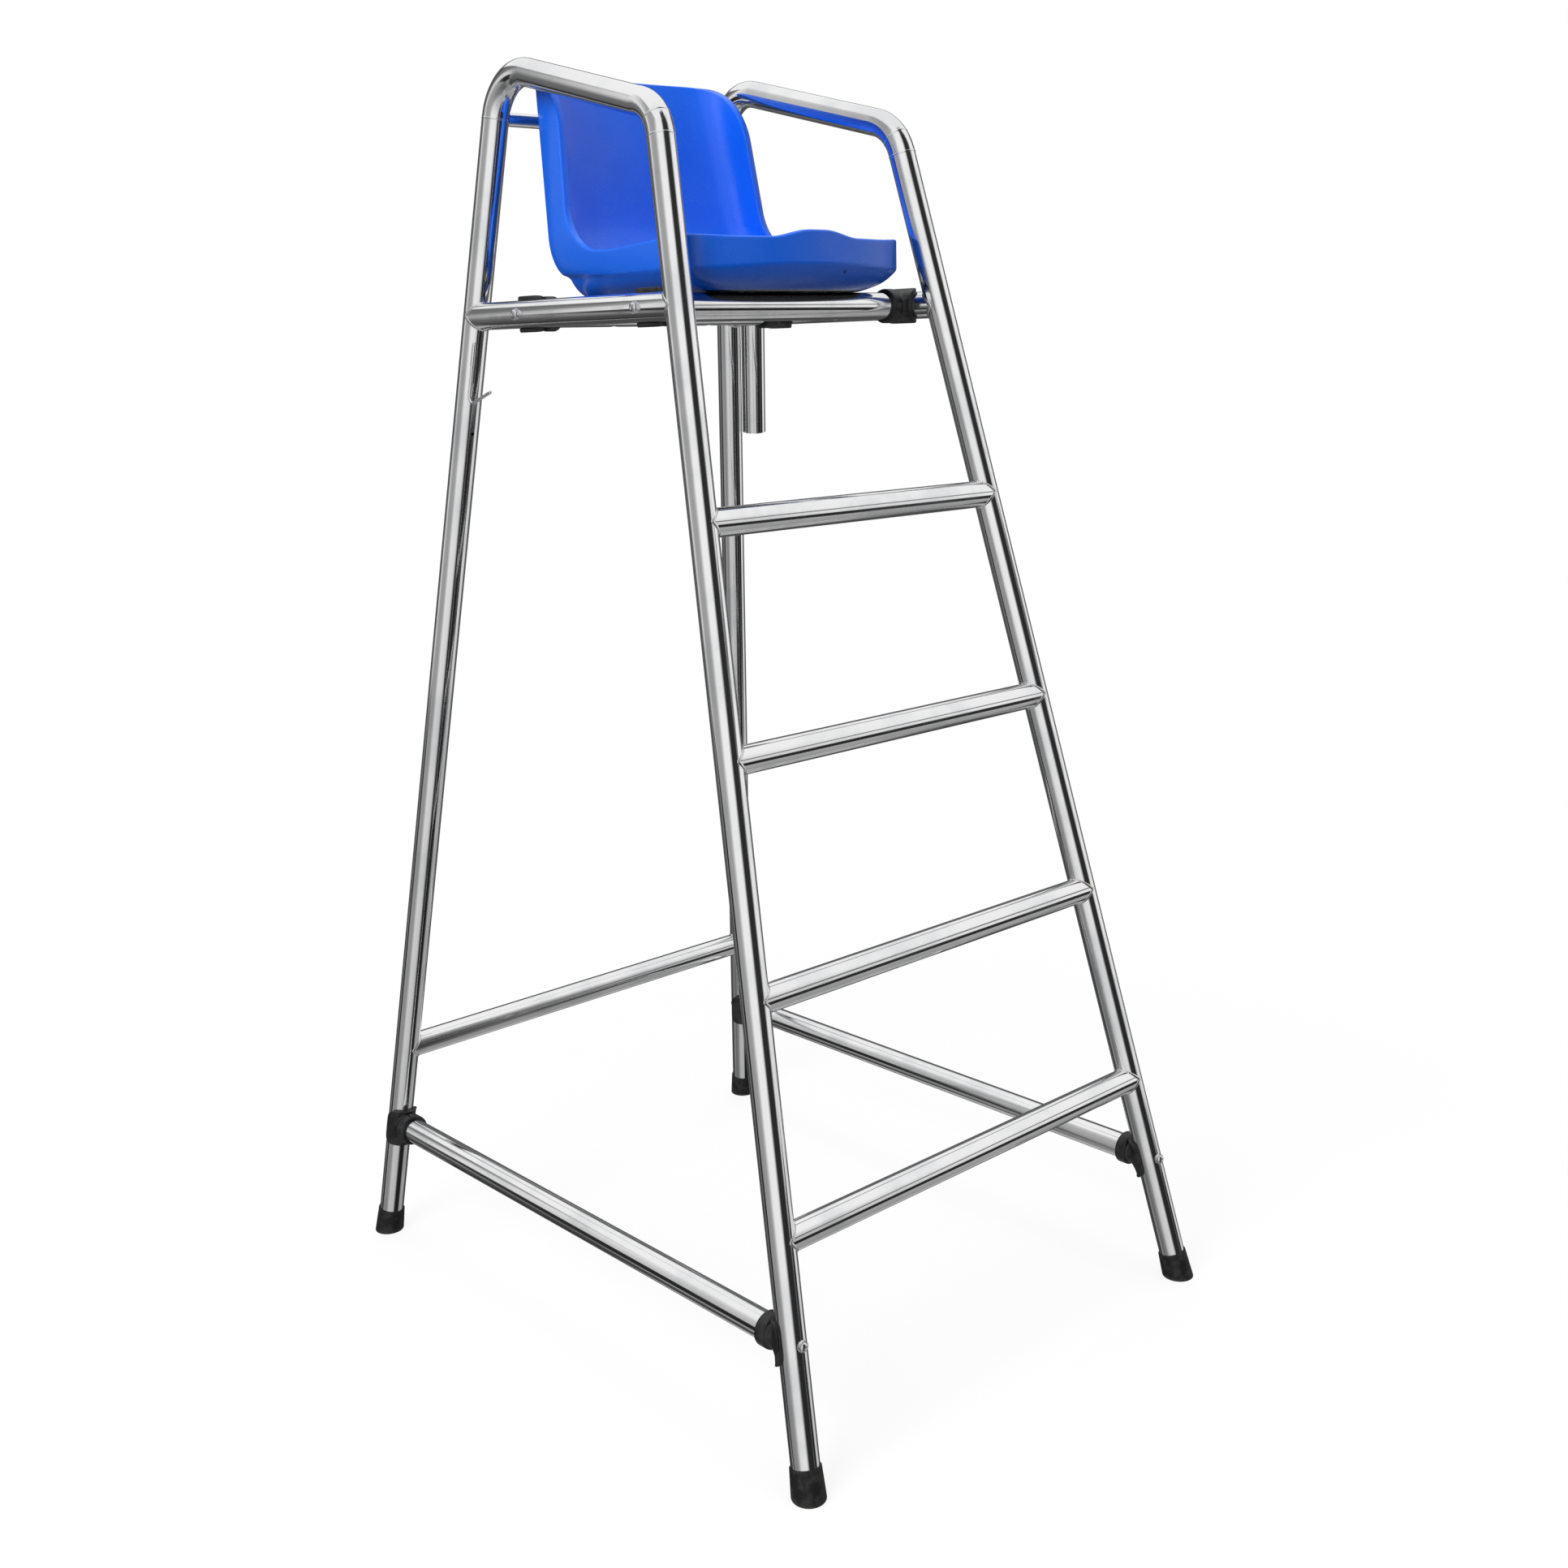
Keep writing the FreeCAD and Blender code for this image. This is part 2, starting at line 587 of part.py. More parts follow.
def make_connectors():
    """The connectors, the threaded plugs behind them, their bolts and their curved washers."""
    bolts = []
    washers = []
    master = dome_bolt("connector_bolt", "Sizes.bolt_radius", "Sizes.bolt_length", "bolt")
    for kind, tail, place, host, reach in connector_places():
        make_connector("%s_connector_%s" % (kind, tail), place, host, reach)
        make_plug("%s_plug_%s" % (kind, tail), place + reach * socket_floor(), reach)
        seat_of_head = place - reach * (TUBE_RADIUS + size("washer_height"))
        label = "%s_%s" % (kind, tail)
        bolts.append(copy_of(master, label + "_bolt", frame_along(seat_of_head, reach, UP)))
        washers.append(
            curved_washer(label + "_washer", place, host, reach)
        )
    keep(group("connector_bolts", bolts), "connector_bolts")
    keep(group("connector_washers", washers), "connector_washers")


def make_plug(name, start, direction):
    """A plug with a threaded bore, flush with the end of the tube that it sits in."""
    blank = cylinder(
        name + "_blank", start, direction, size("plug_length"), TUBE_BORE_CELL + " - Sizes.plug_clearance"
    )
    spare = Vector(direction).normalize()
    thread = cylinder(
        name + "_thread",
        start - spare,
        direction,
        size("plug_length") + 2.0,
        "Sizes.bolt_radius + Sizes.thread_clearance",
    )
    return keep(cut(name + "_solid", blank, [thread]), name)


def dome_bolt(name, shank_cell, length_cell, prefix):
    """A bolt with a low dome head. It points along +Z, and the underside of its head is at z = 0."""
    body = body_named(name)
    head_radius = "Sizes.%s_head_radius" % prefix
    head_height = "Sizes.%s_head_height" % prefix
    sketch = sketch_on(body, name + "_profile", "XZ_Plane")
    dome = [
        ("%s * %s" % (head_radius, across), "-%s * %s" % (head_height, up))
        for across, up in DOME_SHARES
    ]
    corners = [
        ("0", length_cell),
        ("0", "-" + head_height),
        *dome,
        (head_radius, "0"),
        (shank_cell, "0"),
        (shank_cell, length_cell + " - " + shank_cell + " / 3"),
        (shank_cell + " * 2 / 3", length_cell),
    ]
    add_outline(sketch, corners)
    revolve(body, sketch, name + "_turned")
    key = sketch_on(body, name + "_key", "XY_Plane")
    hexagon(key, size(prefix + "_head_radius") * KEY_RADIUS_SHARE)
    pocket = body.newObject("PartDesign::Pocket", name + "_key_recess")
    pocket.Profile = key
    pocket.Type = 0
    pocket.setExpression("Length", "%s * %s" % (head_height, KEY_DEPTH_SHARE))
    key.AttachmentOffset = Placement(Vector(0, 0, -size(prefix + "_head_height")), Rotation())
    pocket.Reversed = True
    return body


def hexagon(sketch, circumradius):
    """A regular hexagon round the sketch's origin."""
    points = []
    for i in range(6):
        angle = math.radians(60 * i)
        points.append(Vector(circumradius * math.cos(angle), circumradius * math.sin(angle), 0))
    for i in range(6):
        sketch.addGeometry(Part.LineSegment(points[i], points[(i + 1) % 6]), False)
    for i in range(6):
        sketch.addConstraint(Sketcher.Constraint("Coincident", i, 2, (i + 1) % 6, 1))


def curved_washer(name, place, host, reach):
    """A washer that is flat under the bolt head and hollowed to sit on the round tube."""
    outside = "Sizes.bolt_head_radius + Sizes.washer_proud"
    away = Vector(reach).normalize() * -1
    length = TUBE_RADIUS + size("washer_height")
    blank = cylinder(name + "_blank", place, away, length, outside)
    hole = cylinder(name + "_hole", place, away, length + 1.0, "Sizes.bolt_hole_radius")
    tube_space = cope_tool(name + "_tube", place, host, "Sizes.saddle_clearance")
    return cut(name, blank, [hole, tube_space])


def copy_of(master, name, placement):
    """A further solid of the same shape at another place."""
    doc.recompute()
    twin = doc.addObject("Part::Feature", name)
    twin.Shape = master.Shape.copy()
    twin.Placement = placement
    return twin


def group(name, members):
    """Several separate solids kept as one sub-part."""
    collection = doc.addObject("Part::Compound", name)
    collection.Links = members
    return collection


def inside_washer(name, axis_place):
    """A washer that is flat under the seat bolt's head and round above, to lie in the tube's bore."""
    level = evaluate(sheet, SEAT_WASHER_LEVEL_CELL)
    outside = "Sizes.seat_bolt_head_radius + Sizes.washer_proud"
    blank = cylinder(name + "_blank", axis_place + UP * level, UP, TUBE_RADIUS, outside)
    hole = cylinder(
        name + "_hole", axis_place, UP, size("tube_diameter"), "Sizes.seat_bolt_hole_radius"
    )
    start = axis_place - Vector(TUBE_RADIUS, 0, 0)
    room = cylinder(
        name + "_room",
        start,
        Vector(1, 0, 0),
        size("tube_diameter"),
        TUBE_BORE_CELL + " - Sizes.saddle_clearance",
    )
    washer = doc.addObject("Part::Common", name)
    washer.Base = cut(name + "_pierced", blank, [hole])
    washer.Tool = room
    return washer


# Stretchers and cross tubes held by the connectors


def make_held_tubes():
    """The side stretchers and the seat's cross tubes, from cup to cup."""
    for side_name, side in SIDES:
        height = size("side_stretcher_height")
        rear = leg_point(side, "rear", height) + stretcher_direction("rear") * socket_floor()
        front = leg_point(side, "front", height) + stretcher_direction("front") * socket_floor()
        name = "side_stretcher_" + side_name
        keep(tube(name, rear, front), name)
    for end in ENDS:
        y = cross_tube_y(end)
        left = rail_point(LEFT, y) + Vector(socket_floor(), 0, 0)
        right = rail_point(RIGHT, y) - Vector(socket_floor(), 0, 0)
        name = "seat_cross_tube_" + end
        holes = []
        for side_name, side in SIDES:
            place = Vector(side * size("seat_bolt_half_spacing"), y, size("rail_height"))
            label = "%s_hole_%s" % (name, side_name)
            reach = size("tube_diameter")
            holes.append(cylinder(label, place, UP, reach, "Sizes.seat_bolt_hole_radius"))
            holes.append(
                cylinder(label + "_access", place, UP * -1, reach, "Sizes.seat_access_radius")
            )
        keep(tube(name, left, right, holes), name)


# Feet, umbrella tube and hook


def make_feet():
    """Rubber feet: cones round the legs, cut level on the floor, with the leg's end in a bore."""
    for side_name, side in SIDES:
        for end in ENDS:
            name = "foot_%s_%s" % (end, side_name)
            floor = leg_point(side, end, 0.0)
            axis = leg_direction(side, end)
            flare = (size("foot_floor_radius") - size("foot_top_radius")) / size("foot_height")
            below = size("foot_floor_radius")
            cone = doc.addObject("Part::Cone", name + "_cone")
            cone.Radius1 = size("foot_floor_radius") + flare * below
            cone.setExpression("Radius2", "Sizes.foot_top_radius")
            cone.Height = size("foot_height") + below
            cone.Placement = frame_along(floor - axis * below, axis, any_normal(axis))
            bore_start = floor + axis * (size("leg_start") - size("end_clearance"))
            bore = cylinder(
                name + "_bore",
                bore_start,
                axis,
                size("foot_height"),
                TUBE_RADIUS_CELL + " + Sizes.foot_clearance",
            )
            ground = doc.addObject("Part::Box", name + "_ground")
            ground.Length = 6 * below
            ground.Width = 6 * below
            ground.Height = 2 * below
            ground.Placement = Placement(
                Vector(floor.x - 3 * below, floor.y - 3 * below, -2 * below), Rotation()
            )
            foot = cut(name + "_cut", cone, [bore, ground])
            doc.recompute()
            rounded = doc.addObject("Part::Fillet", name + "_rounded")
            rounded.Base = foot
            radius = size("foot_edge_radius")
            rounded.Edges = [(floor_edge(foot.Shape), radius, radius)]
            keep(rounded, name)


def floor_edge(shape):
    """The number of the edge that lies in the floor."""
    for number, edge in enumerate(shape.Edges, start=1):
        if abs(edge.BoundBox.ZMax) < 1e-6 and abs(edge.BoundBox.ZMin) < 1e-6:
            return number
    raise ValueError("no edge lies in the floor")


def make_umbrella_tube():
    """A tube beside the right seat rail, parallel to the rear leg, for an umbrella's pole."""
    rail = rail_point(RIGHT, 0.0)
    leg = leg_point(RIGHT, "rear", size("rail_height"))
    lean = math.cos(math.radians(size("side_lean_angle")))
    beside = Vector(
        rail.x + (size("tube_diameter") + size("holder_gap")) / lean,
        leg.y - size("holder_forward"),
        rail.z,
    )
    upward = leg_direction(RIGHT, "rear")
    bottom = beside - upward * size("holder_below")
    top = beside + upward * size("holder_above")
    keep(tube("umbrella_tube", bottom, top), "umbrella_tube")


def make_hook():
    """A bent rod on the left rear leg: straight down along the leg, then forward and up at its tip."""
    name = "life_ring_hook"
    leg_up = leg_direction(LEFT, "rear")
    azimuth = math.radians(size("hook_side_angle"))
    outward = Vector(-math.sin(azimuth), -math.cos(azimuth), 0)
    outward = (outward - leg_up * outward.dot(leg_up)).normalize()
    off_axis = TUBE_RADIUS + size("hook_rod_diameter") / 2 + size("hook_gap")
    start = leg_point(LEFT, "rear", size("hook_top_height")) + outward * off_axis
    forward = (FORWARD - leg_up * FORWARD.dot(leg_up)).normalize()
    body = body_named(name, frame_along(start, leg_up * -1, forward))
    rise = math.radians(size("hook_tip_angle"))
    turn = math.pi / 2 + rise
    corner_gap = size("hook_bend_radius") * math.tan(turn / 2)
    corner = Vector(0, size("hook_drop") + corner_gap, 0)
    tip_run = corner_gap + size("hook_tip_length")
    tip = corner + Vector(math.cos(rise), -math.sin(rise), 0) * tip_run
    path = sketch_on(body, name + "_path", "XZ_Plane")
    add_path(path, rounded_path([Vector(0, 0, 0), corner, tip], size("hook_bend_radius")))
    section = sketch_on(body, name + "_section", "XY_Plane")
    add_circle(section, "Sizes.hook_rod_diameter / 2", size("hook_rod_diameter") / 2)
    pipe = body.newObject("PartDesign::AdditivePipe", name + "_pipe")
    pipe.Profile = section
    pipe.Spine = (path, [])
    keep(body, name)


# The seat


def seat_centre():
    """The middle of the seat's underside, halfway between the cross tubes."""
    y = (cross_tube_y("front") + cross_tube_y("rear")) / 2
    return Vector(0, y, size("rail_height") + TUBE_RADIUS + size("seat_gap"))


def seat_outline(height, half_width, rear_half_width, front, rear, bows, corner):
    """A level closed curve: a rounded rectangle whose front and rear edges bow outward."""
    points = []
    taper = 1 - rear_half_width / half_width
    steps = 6
    sides = ((1, 1), (-1, 1), (-1, -1), (1, -1))
    for quarter, (sx, sy) in enumerate(sides):
        reach = rear if sy > 0 else front
        for i in range(steps + 1):
            angle = math.pi / 2 * i / steps
            if quarter % 2:
                angle = math.pi / 2 - angle
            x = sx * (half_width - corner + corner * math.cos(angle))
            y = sy * (reach - corner + corner * math.sin(angle))
            points.append(Vector(x, y, height))
        for share in (0.25, 0.5, 0.75):
            if quarter % 2 == 0:
                across = sx * (half_width - corner) * (1 - 2 * share)
                points.append(Vector(across, sy * reach, height))
            else:
                start = sy * (reach - corner)
                end = -sy * ((front if sy > 0 else rear) - corner)
                points.append(Vector(sx * half_width, start + (end - start) * share, height))
    for point in points:
        reach, bow = (rear, bows[1]) if point.y > 0 else (front, bows[0])
        middle = 1 - (point.x / half_width) ** 2
        point.y += math.copysign(bow * middle * (point.y / reach) ** 2, point.y)
        point.x *= 1 - taper * (point.y + front) / (front + rear)
    curve = Part.BSplineCurve()
    curve.interpolate(points, PeriodicFlag=True)
    return Part.Wire([curve.toShape()])


def seat_rounded_up(height, at_facet, at_tail):
    """A size between the facet and the tail, which follows a quarter ellipse."""
    facet = size("seat_facet_height")
    share = (height - facet) / (size("seat_tail_height") - facet)
    return at_facet + (at_tail - at_facet) * math.sqrt(max(0.0, 1 - (1 - share) ** 2))


def seat_back_share(height):
    """How far up the back a height is: 0 at the tail and below it, 1 at the top."""
    tail = size("seat_tail_height")
    return max(0.0, (height - tail) / (size("seat_back_height") - tail))


def seat_rear_at(height):
    """How far back the seat's rear corners are at a height over its underside."""
    if height < size("seat_tail_height"):
        return seat_rounded_up(height, size("seat_facet_rear"), size("seat_rear_reach"))
    lean = size("seat_top_rear") - size("seat_rear_reach")
    return size("seat_rear_reach") + lean * seat_back_share(height)


def seat_rear_half_width_at(height):
    """How far the seat's rear corners are from the middle plane at a height."""
    widest = size("seat_rear_half_width")
    if height < size("seat_tail_height"):
        return seat_rounded_up(height, size("seat_facet_rear_half_width"), widest)
    return widest + (size("seat_top_half_width") - widest) * seat_back_share(height)


def seat_half_width_at(height):
    """How far the outline's front corners are from the middle plane at a height."""
    narrowing = size("seat_top_half_width") / size("seat_rear_half_width") - 1
    return size("seat_half_width") * (1 + narrowing * seat_back_share(height))


def seat_stack(inset, corner, hollow_bow=0.0):
    """The seat's outline carried up from the underside to past the top, moved in by the inset."""
    facet = size("seat_facet_height")
    tail = size("seat_tail_height")
    top = size("seat_back_height")
    bows = (size("seat_front_bow"), size("seat_rear_bow") + hollow_bow)
    aliases = (
        ("seat_base_half_width", "seat_half_width"),
        ("seat_base_rear_half_width", "seat_facet_rear_half_width"),
        ("seat_base_front", "seat_front_reach"),
        ("seat_base_rear", "seat_facet_rear"),
    )
    outlines = []
    for height, share in ((0, 0.0), (size("seat_bulge_height"), size("seat_bulge_share"))):
        sizes = [size(low) + (size(high) - size(low)) * share - inset for low, high in aliases]
        slope_bows = [bow * (0.5 + share / 2) for bow in bows]
        outlines.append(seat_outline(height, *sizes, slope_bows, corner))
    levels = [facet + (tail - facet) * share for share in (0.0, 0.12, 0.4, 1.0)]
    levels.append(top + size("clearing"))
    for height in levels:
        outlines.append(
            seat_outline(
                height,
                seat_half_width_at(height) - inset,
                seat_rear_half_width_at(height) - inset,
                size("seat_front_reach") - inset,
                seat_rear_at(height) - inset,
                bows,
                corner,
            )
        )
    return Part.makeLoft(outlines, True, True)


def extruded(corners, radii, direction, plane):
    """A solid of a flat outline with rounded corners, carried both ways along a direction."""
    points = [plane(a, b) for a, b in corners]
    edges = []
    count = len(points)
    starts = []
    for i in range(count):
        before, corner, after = points[i - 1], points[i], points[(i + 1) % count]
        back = (before - corner).normalize()
        ahead = (after - corner).normalize()
        half = back.getAngle(ahead) / 2
        if radii[i] == 0:
            starts.append((corner, None, corner))
            continue
        tangent = radii[i] / math.tan(half)
        middle = (back + ahead).normalize()
        crown = corner + middle * (radii[i] / math.sin(half) - radii[i])
        starts.append((corner + back * tangent, crown, corner + ahead * tangent))
    for i in range(count):
        arc_start, crown, arc_end = starts[i]
        if crown is not None:
            edges.append(Part.Arc(arc_start, crown, arc_end).toShape())
        next_start = starts[(i + 1) % count][0]
        if not arc_end.isEqual(next_start, 1e-6):
            edges.append(Part.LineSegment(arc_end, next_start).toShape())
    face = Part.Face(Part.Wire(edges))
    face.translate(direction * -1)
    return face.extrude(direction * 2)


def seat_side_profile():
    """What the seat shows from its side: the rim's line, the wing and the leaning back."""
    top = size("seat_back_height")
    edge = size("seat_front_reach") + size("seat_front_bow")
    front = -(edge + size("clearing"))
    rear = size("seat_top_rear") + size("seat_rear_bow") + size("clearing")
    below = -size("clearing")
    low = size("seat_rim_low")
    corners = [
        (front, below),
        (front, size("seat_pommel_height")),
        (size("seat_lip_width") - edge, size("seat_pommel_height")),
        (size("seat_rim_front_setback") - size("seat_front_reach"), size("seat_rim_front")),
        (-size("seat_rim_low_forward"), low),
        (size("seat_wing_foot"), low + size("seat_wing_rise")),
        (size("seat_wing_top"), top),
        (rear, top),
        (rear, below),
    ]
    radii = [0] * len(corners)
    radii[3] = size("seat_rim_front_radius")
    radii[4] = size("seat_rim_low_radius")
    radii[5] = size("seat_wing_sweep")
    radii[6] = size("seat_wing_tip_radius")
    wide = Vector(size("seat_half_width") * 2, 0, 0)
    return extruded(corners, radii, wide, lambda y, z: Vector(0, y, z))


def mirrored(corners, radii):
    """An outline of one half, from the middle plane outward, with its mirror image added."""
    return (
        [(-across, up) for across, up in corners[::-1]] + corners,
        radii[::-1] + radii,
    )


def seat_front_profile():
    """What the seat shows from its front: sides that narrow upward and rounded top corners."""
    half = size("seat_half_width") + size("clearing")
    tail = size("seat_tail_height")
    tail_half = size("seat_rear_half_width") + size("cutting_margin")
    top_half = size("seat_top_half_width") + size("cutting_margin")
    corners = [
        (top_half, size("seat_back_height")),
        (tail_half, tail),
        (half, tail),
        (half, -size("clearing")),
    ]
    radii = [size("seat_top_corner"), 0, 0, 0]
    deep = Vector(0, 2 * (size("seat_front_reach") + size("seat_top_rear")), 0)
    return extruded(*mirrored(corners, radii), deep, lambda x, z: Vector(x, 0, z))


def seat_rim_wave():
    """The space over the front rim, which dips to each side of its middle hump."""
    half = size("seat_half_width") + size("clearing")
    hump = size("seat_pommel_half_width")
    channel = size("seat_channel_height")
    high = size("seat_pommel_height")
    corners = [
        (hump * size("seat_pommel_crown_share"), high),
        (hump, channel),
        (hump + size("seat_channel_width"), channel),
        (half, size("seat_rim_front") + size("cutting_margin")),
        (half, high + size("clearing")),
    ]
    radii = [size("seat_pommel_radius")] * 2 + [size("seat_rim_front_radius"), 0, 0]
    deep = Vector(0, size("seat_front_reach"), 0)
    space = extruded(*mirrored(corners, radii), deep, lambda x, z: Vector(x, 0, z))
    rear = size("seat_front_reach") - size("seat_rim_width") - size("clearing")
    space.translate(Vector(0, -size("seat_front_reach") - rear, 0))
    return space


def seat_hollow():
    """The bucket: the outline inside the rim, from the pan's floor up."""
    stack = seat_stack(size("seat_rim_width"), size("seat_inner_radius"), size("seat_hollow_bow"))
    pan = size("seat_pan_height")
    front = -(size("seat_front_reach") + size("seat_front_bow"))
    slope_start = size("seat_base_rear") - size("seat_pan_rear_inset")
    rear = size("seat_top_rear") + size("seat_rear_bow") + size("seat_hollow_bow")
    climb = (rear - slope_start) * math.tan(math.radians(size("seat_pan_rear_angle")))
    top = size("seat_back_height") + 2 * size("clearing")
    corners = [
        (front, pan + size("seat_pan_front_rise")),
        (front / 2, pan + size("seat_pan_front_rise") / 2),
        (slope_start, pan),
        (rear, pan + climb),
        (rear, top),
        (front, top),
    ]
    radii = [0, size("seat_pan_front_bend"), size("seat_pan_rear_bend"), 0, 0, 0]
    wide = Vector(size("seat_half_width") * 2, 0, 0)
    above_pan = extruded(corners, radii, wide, lambda y, z: Vector(0, y, z))
    return stack.common(above_pan)


def make_seat():
    """The bucket seat, and what bolts it to the cross tubes."""
    outer = seat_stack(0.0, size("seat_corner_radius"))
    outer = outer.common(seat_side_profile()).common(seat_front_profile())
    shell = outer.cut([seat_hollow(), seat_rim_wave()])
    centre = seat_centre()
    tools = []
    for end in ENDS:
        for side_name, side in SIDES:
            place = seat_bolt_place(side, end) - centre
            hole = Part.makeCylinder(
                size("insert_radius") + size("insert_clearance"),
                size("insert_length") + size("insert_clearance") + size("clearing"),
                Vector(place.x, place.y, -size("clearing")),
                UP,
            )
            tools.append(hole)
    tools.append(seat_vent())
    seat = doc.addObject("Part::Feature", "seat_shell_solid")
    solid = shell.cut(tools).removeSplitter()
    seat.Shape = solid.Solids[0] if len(solid.Solids) == 1 else solid
    seat.Placement = Placement(centre, Rotation())
    keep(seat, "seat_shell")
    make_seat_fixings()


def seat_vent():
    """The small vent hole in the slope under the front rim."""
    ahead = size("seat_front_reach") + size("seat_front_bow") + size("clearing")
    start = Vector(size("vent_offset"), -ahead, size("vent_height"))
    length = size("clearing") + size("vent_depth")
    return Part.makeCylinder(size("vent_radius"), length, start, FORWARD * -1)


def seat_bolt_place(side, end):
    """Where a seat bolt enters the seat's underside."""
    y = cross_tube_y(end)
    return Vector(side * size("seat_bolt_half_spacing"), y, seat_centre().z)


def make_seat_fixings():
    """Threaded inserts in the seat, and the bolts and curved washers inside the cross tubes."""
    inserts = []
    bolts = []
    washers = []
    length_cell = (
        TUBE_RADIUS_CELL + " - " + SEAT_WASHER_LEVEL_CELL + " + Sizes.seat_gap + Sizes.seat_bolt_grip"
    )
    master = dome_bolt("seat_bolt", "Sizes.seat_bolt_radius", length_cell, "seat_bolt")
    level = evaluate(sheet, SEAT_WASHER_LEVEL_CELL)
    for end in ENDS:
        for side_name, side in SIDES:
            label = "seat_%s_%s" % (end, side_name)
            place = seat_bolt_place(side, end)
            insert = cylinder(
                label + "_insert_blank", place, UP, size("insert_length"), "Sizes.insert_radius"
            )
            thread = cylinder(
                label + "_insert_thread",
                place - UP,
                UP,
                size("insert_length") + 2.0,
                "Sizes.seat_bolt_radius + Sizes.thread_clearance",
            )
            inserts.append(cut(label + "_insert", insert, [thread]))
            axis_place = Vector(place.x, place.y, size("rail_height"))
            head = axis_place + UP * level
            bolts.append(copy_of(master, label + "_bolt", Placement(head, Rotation())))
            washers.append(inside_washer(label + "_washer", axis_place))
    keep(group("seat_inserts", inserts), "seat_inserts")
    keep(group("seat_bolts", bolts), "seat_bolts")
    keep(group("seat_washers", washers), "seat_washers")


# Building, testing and writing


def check_objects():
    """Stops if an object failed or a sub-part has no valid solid."""
    for obj in doc.Objects:
        if "Invalid" in obj.State or "Error" in obj.State:
            raise RuntimeError("%s failed: %s" % (obj.Name, obj.State))
    for obj in sub_parts:
        if obj.Shape.isNull() or not obj.Shape.isValid() or not obj.Shape.Solids:
            raise RuntimeError("%s has no valid solid" % obj.Label)


def write_parts():
    """Writes each sub-part to a file of its own name."""
    os.makedirs("parts", exist_ok=True)
    for obj in sub_parts:
        obj.Shape.exportStep("parts/%s.step" % obj.Label)
        box = obj.Shape.BoundBox
        print("%-34s solids %2d  volume %11.1f  z %8.1f to %8.1f" % (
            obj.Label, len(obj.Shape.Solids), obj.Shape.Volume, box.ZMin, box.ZMax
        ))


make_legs()
make_cross_members()
make_seat_rails()
make_armrests()
make_connectors()
make_held_tubes()
make_feet()
make_umbrella_tube()
make_hook()
make_seat()
doc.recompute()
check_objects()
write_parts()
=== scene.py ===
"""A lifeguard chair of polished steel tube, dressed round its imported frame.

The chair faces -Y, +Z is up and the floor is at z = 0. Lengths are in metres, angles in degrees.
The straight tubes stay as the frame's own solids and get their finish here. The moulded seat,
the saddle connectors, the rubber feet, the bolts, the hook and the welds are built as surfaces.
"""

from __future__ import annotations

import logging
import math
from dataclasses import dataclass
from enum import Enum
from typing import Sequence

import bpy
import numpy as np
from mathutils import Matrix, Vector

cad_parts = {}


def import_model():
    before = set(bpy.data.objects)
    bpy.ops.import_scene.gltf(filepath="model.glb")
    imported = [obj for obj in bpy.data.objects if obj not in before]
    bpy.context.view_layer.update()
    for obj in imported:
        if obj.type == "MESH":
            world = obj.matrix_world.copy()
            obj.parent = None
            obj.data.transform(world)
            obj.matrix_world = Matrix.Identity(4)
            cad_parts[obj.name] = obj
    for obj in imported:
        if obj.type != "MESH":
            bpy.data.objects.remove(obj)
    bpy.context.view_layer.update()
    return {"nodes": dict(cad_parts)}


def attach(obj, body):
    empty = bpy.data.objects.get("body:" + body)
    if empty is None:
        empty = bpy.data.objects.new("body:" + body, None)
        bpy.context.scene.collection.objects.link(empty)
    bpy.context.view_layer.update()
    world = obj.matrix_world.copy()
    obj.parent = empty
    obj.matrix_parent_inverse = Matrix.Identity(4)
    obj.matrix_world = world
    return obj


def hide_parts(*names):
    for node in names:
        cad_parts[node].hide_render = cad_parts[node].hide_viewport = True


LOG = logging.getLogger("lifeguard_chair")
BODY = "root"
FORWARD = np.array([0.0, -1.0, 0.0])
UP = np.array([0.0, 0.0, 1.0])
FULL_TURN = 2.0 * math.pi
WHITE = (1.0, 1.0, 1.0, 1.0)
Colour = tuple[float, float, float]


class Side(Enum):
    """The chair's two sides, with the sign of their X."""

    LEFT = -1
    RIGHT = 1

    @property
    def label(self) -> str:
        """The side's name as nodes spell it."""
        return self.name.lower()


class End(Enum):
    """The chair's two ends: the ladder is at the front."""

    FRONT = "front"
    REAR = "rear"


class Run(Enum):
    """Which way a tube lies, which sets how its polishing lines turn."""

    UPRIGHT = (90.0, 90.0, 1400.0)
    ACROSS = (1400.0, 90.0, 90.0)
    ALONG = (90.0, 1400.0, 90.0)


# Vectors and curves


def unit(vectors: np.ndarray) -> np.ndarray:
    """Vectors along the last axis, each made one unit long."""
    return vectors / np.linalg.norm(vectors, axis=-1, keepdims=True)


def smooth_step(values: np.ndarray, low: float, high: float) -> np.ndarray:
    """0 below low, 1 above high, and the cubic 3t^2 - 2t^3 between them."""
    t = np.clip((values - low) / (high - low), 0.0, 1.0)
    return t * t * (3.0 - 2.0 * t)


def bend(start: np.ndarray, corner: np.ndarray, end: np.ndarray, steps: int) -> np.ndarray:
    """Rows of a rounded corner: the quadratic (1-t)^2 start + 2t(1-t) corner + t^2 end.

    Args:
        start: Points where the rounding begins, one per column.
        corner: The sharp corners that it replaces.
        end: Points where it ends.
        steps: Number of rows, the first at start and the last at end.

    Returns:
        An array of rows, columns and coordinates.
    """
    t = np.linspace(0.0, 1.0, steps).reshape(-1, *([1] * start.ndim))
    return (1.0 - t) ** 2 * start + 2.0 * t * (1.0 - t) * corner + t**2 * end


def span(start: np.ndarray, end: np.ndarray, steps: int) -> np.ndarray:
    """Rows evenly spaced strictly between start and end."""
    t = np.linspace(0.0, 1.0, steps + 2)[1:-1].reshape(-1, *([1] * start.ndim))
    return start + (end - start) * t


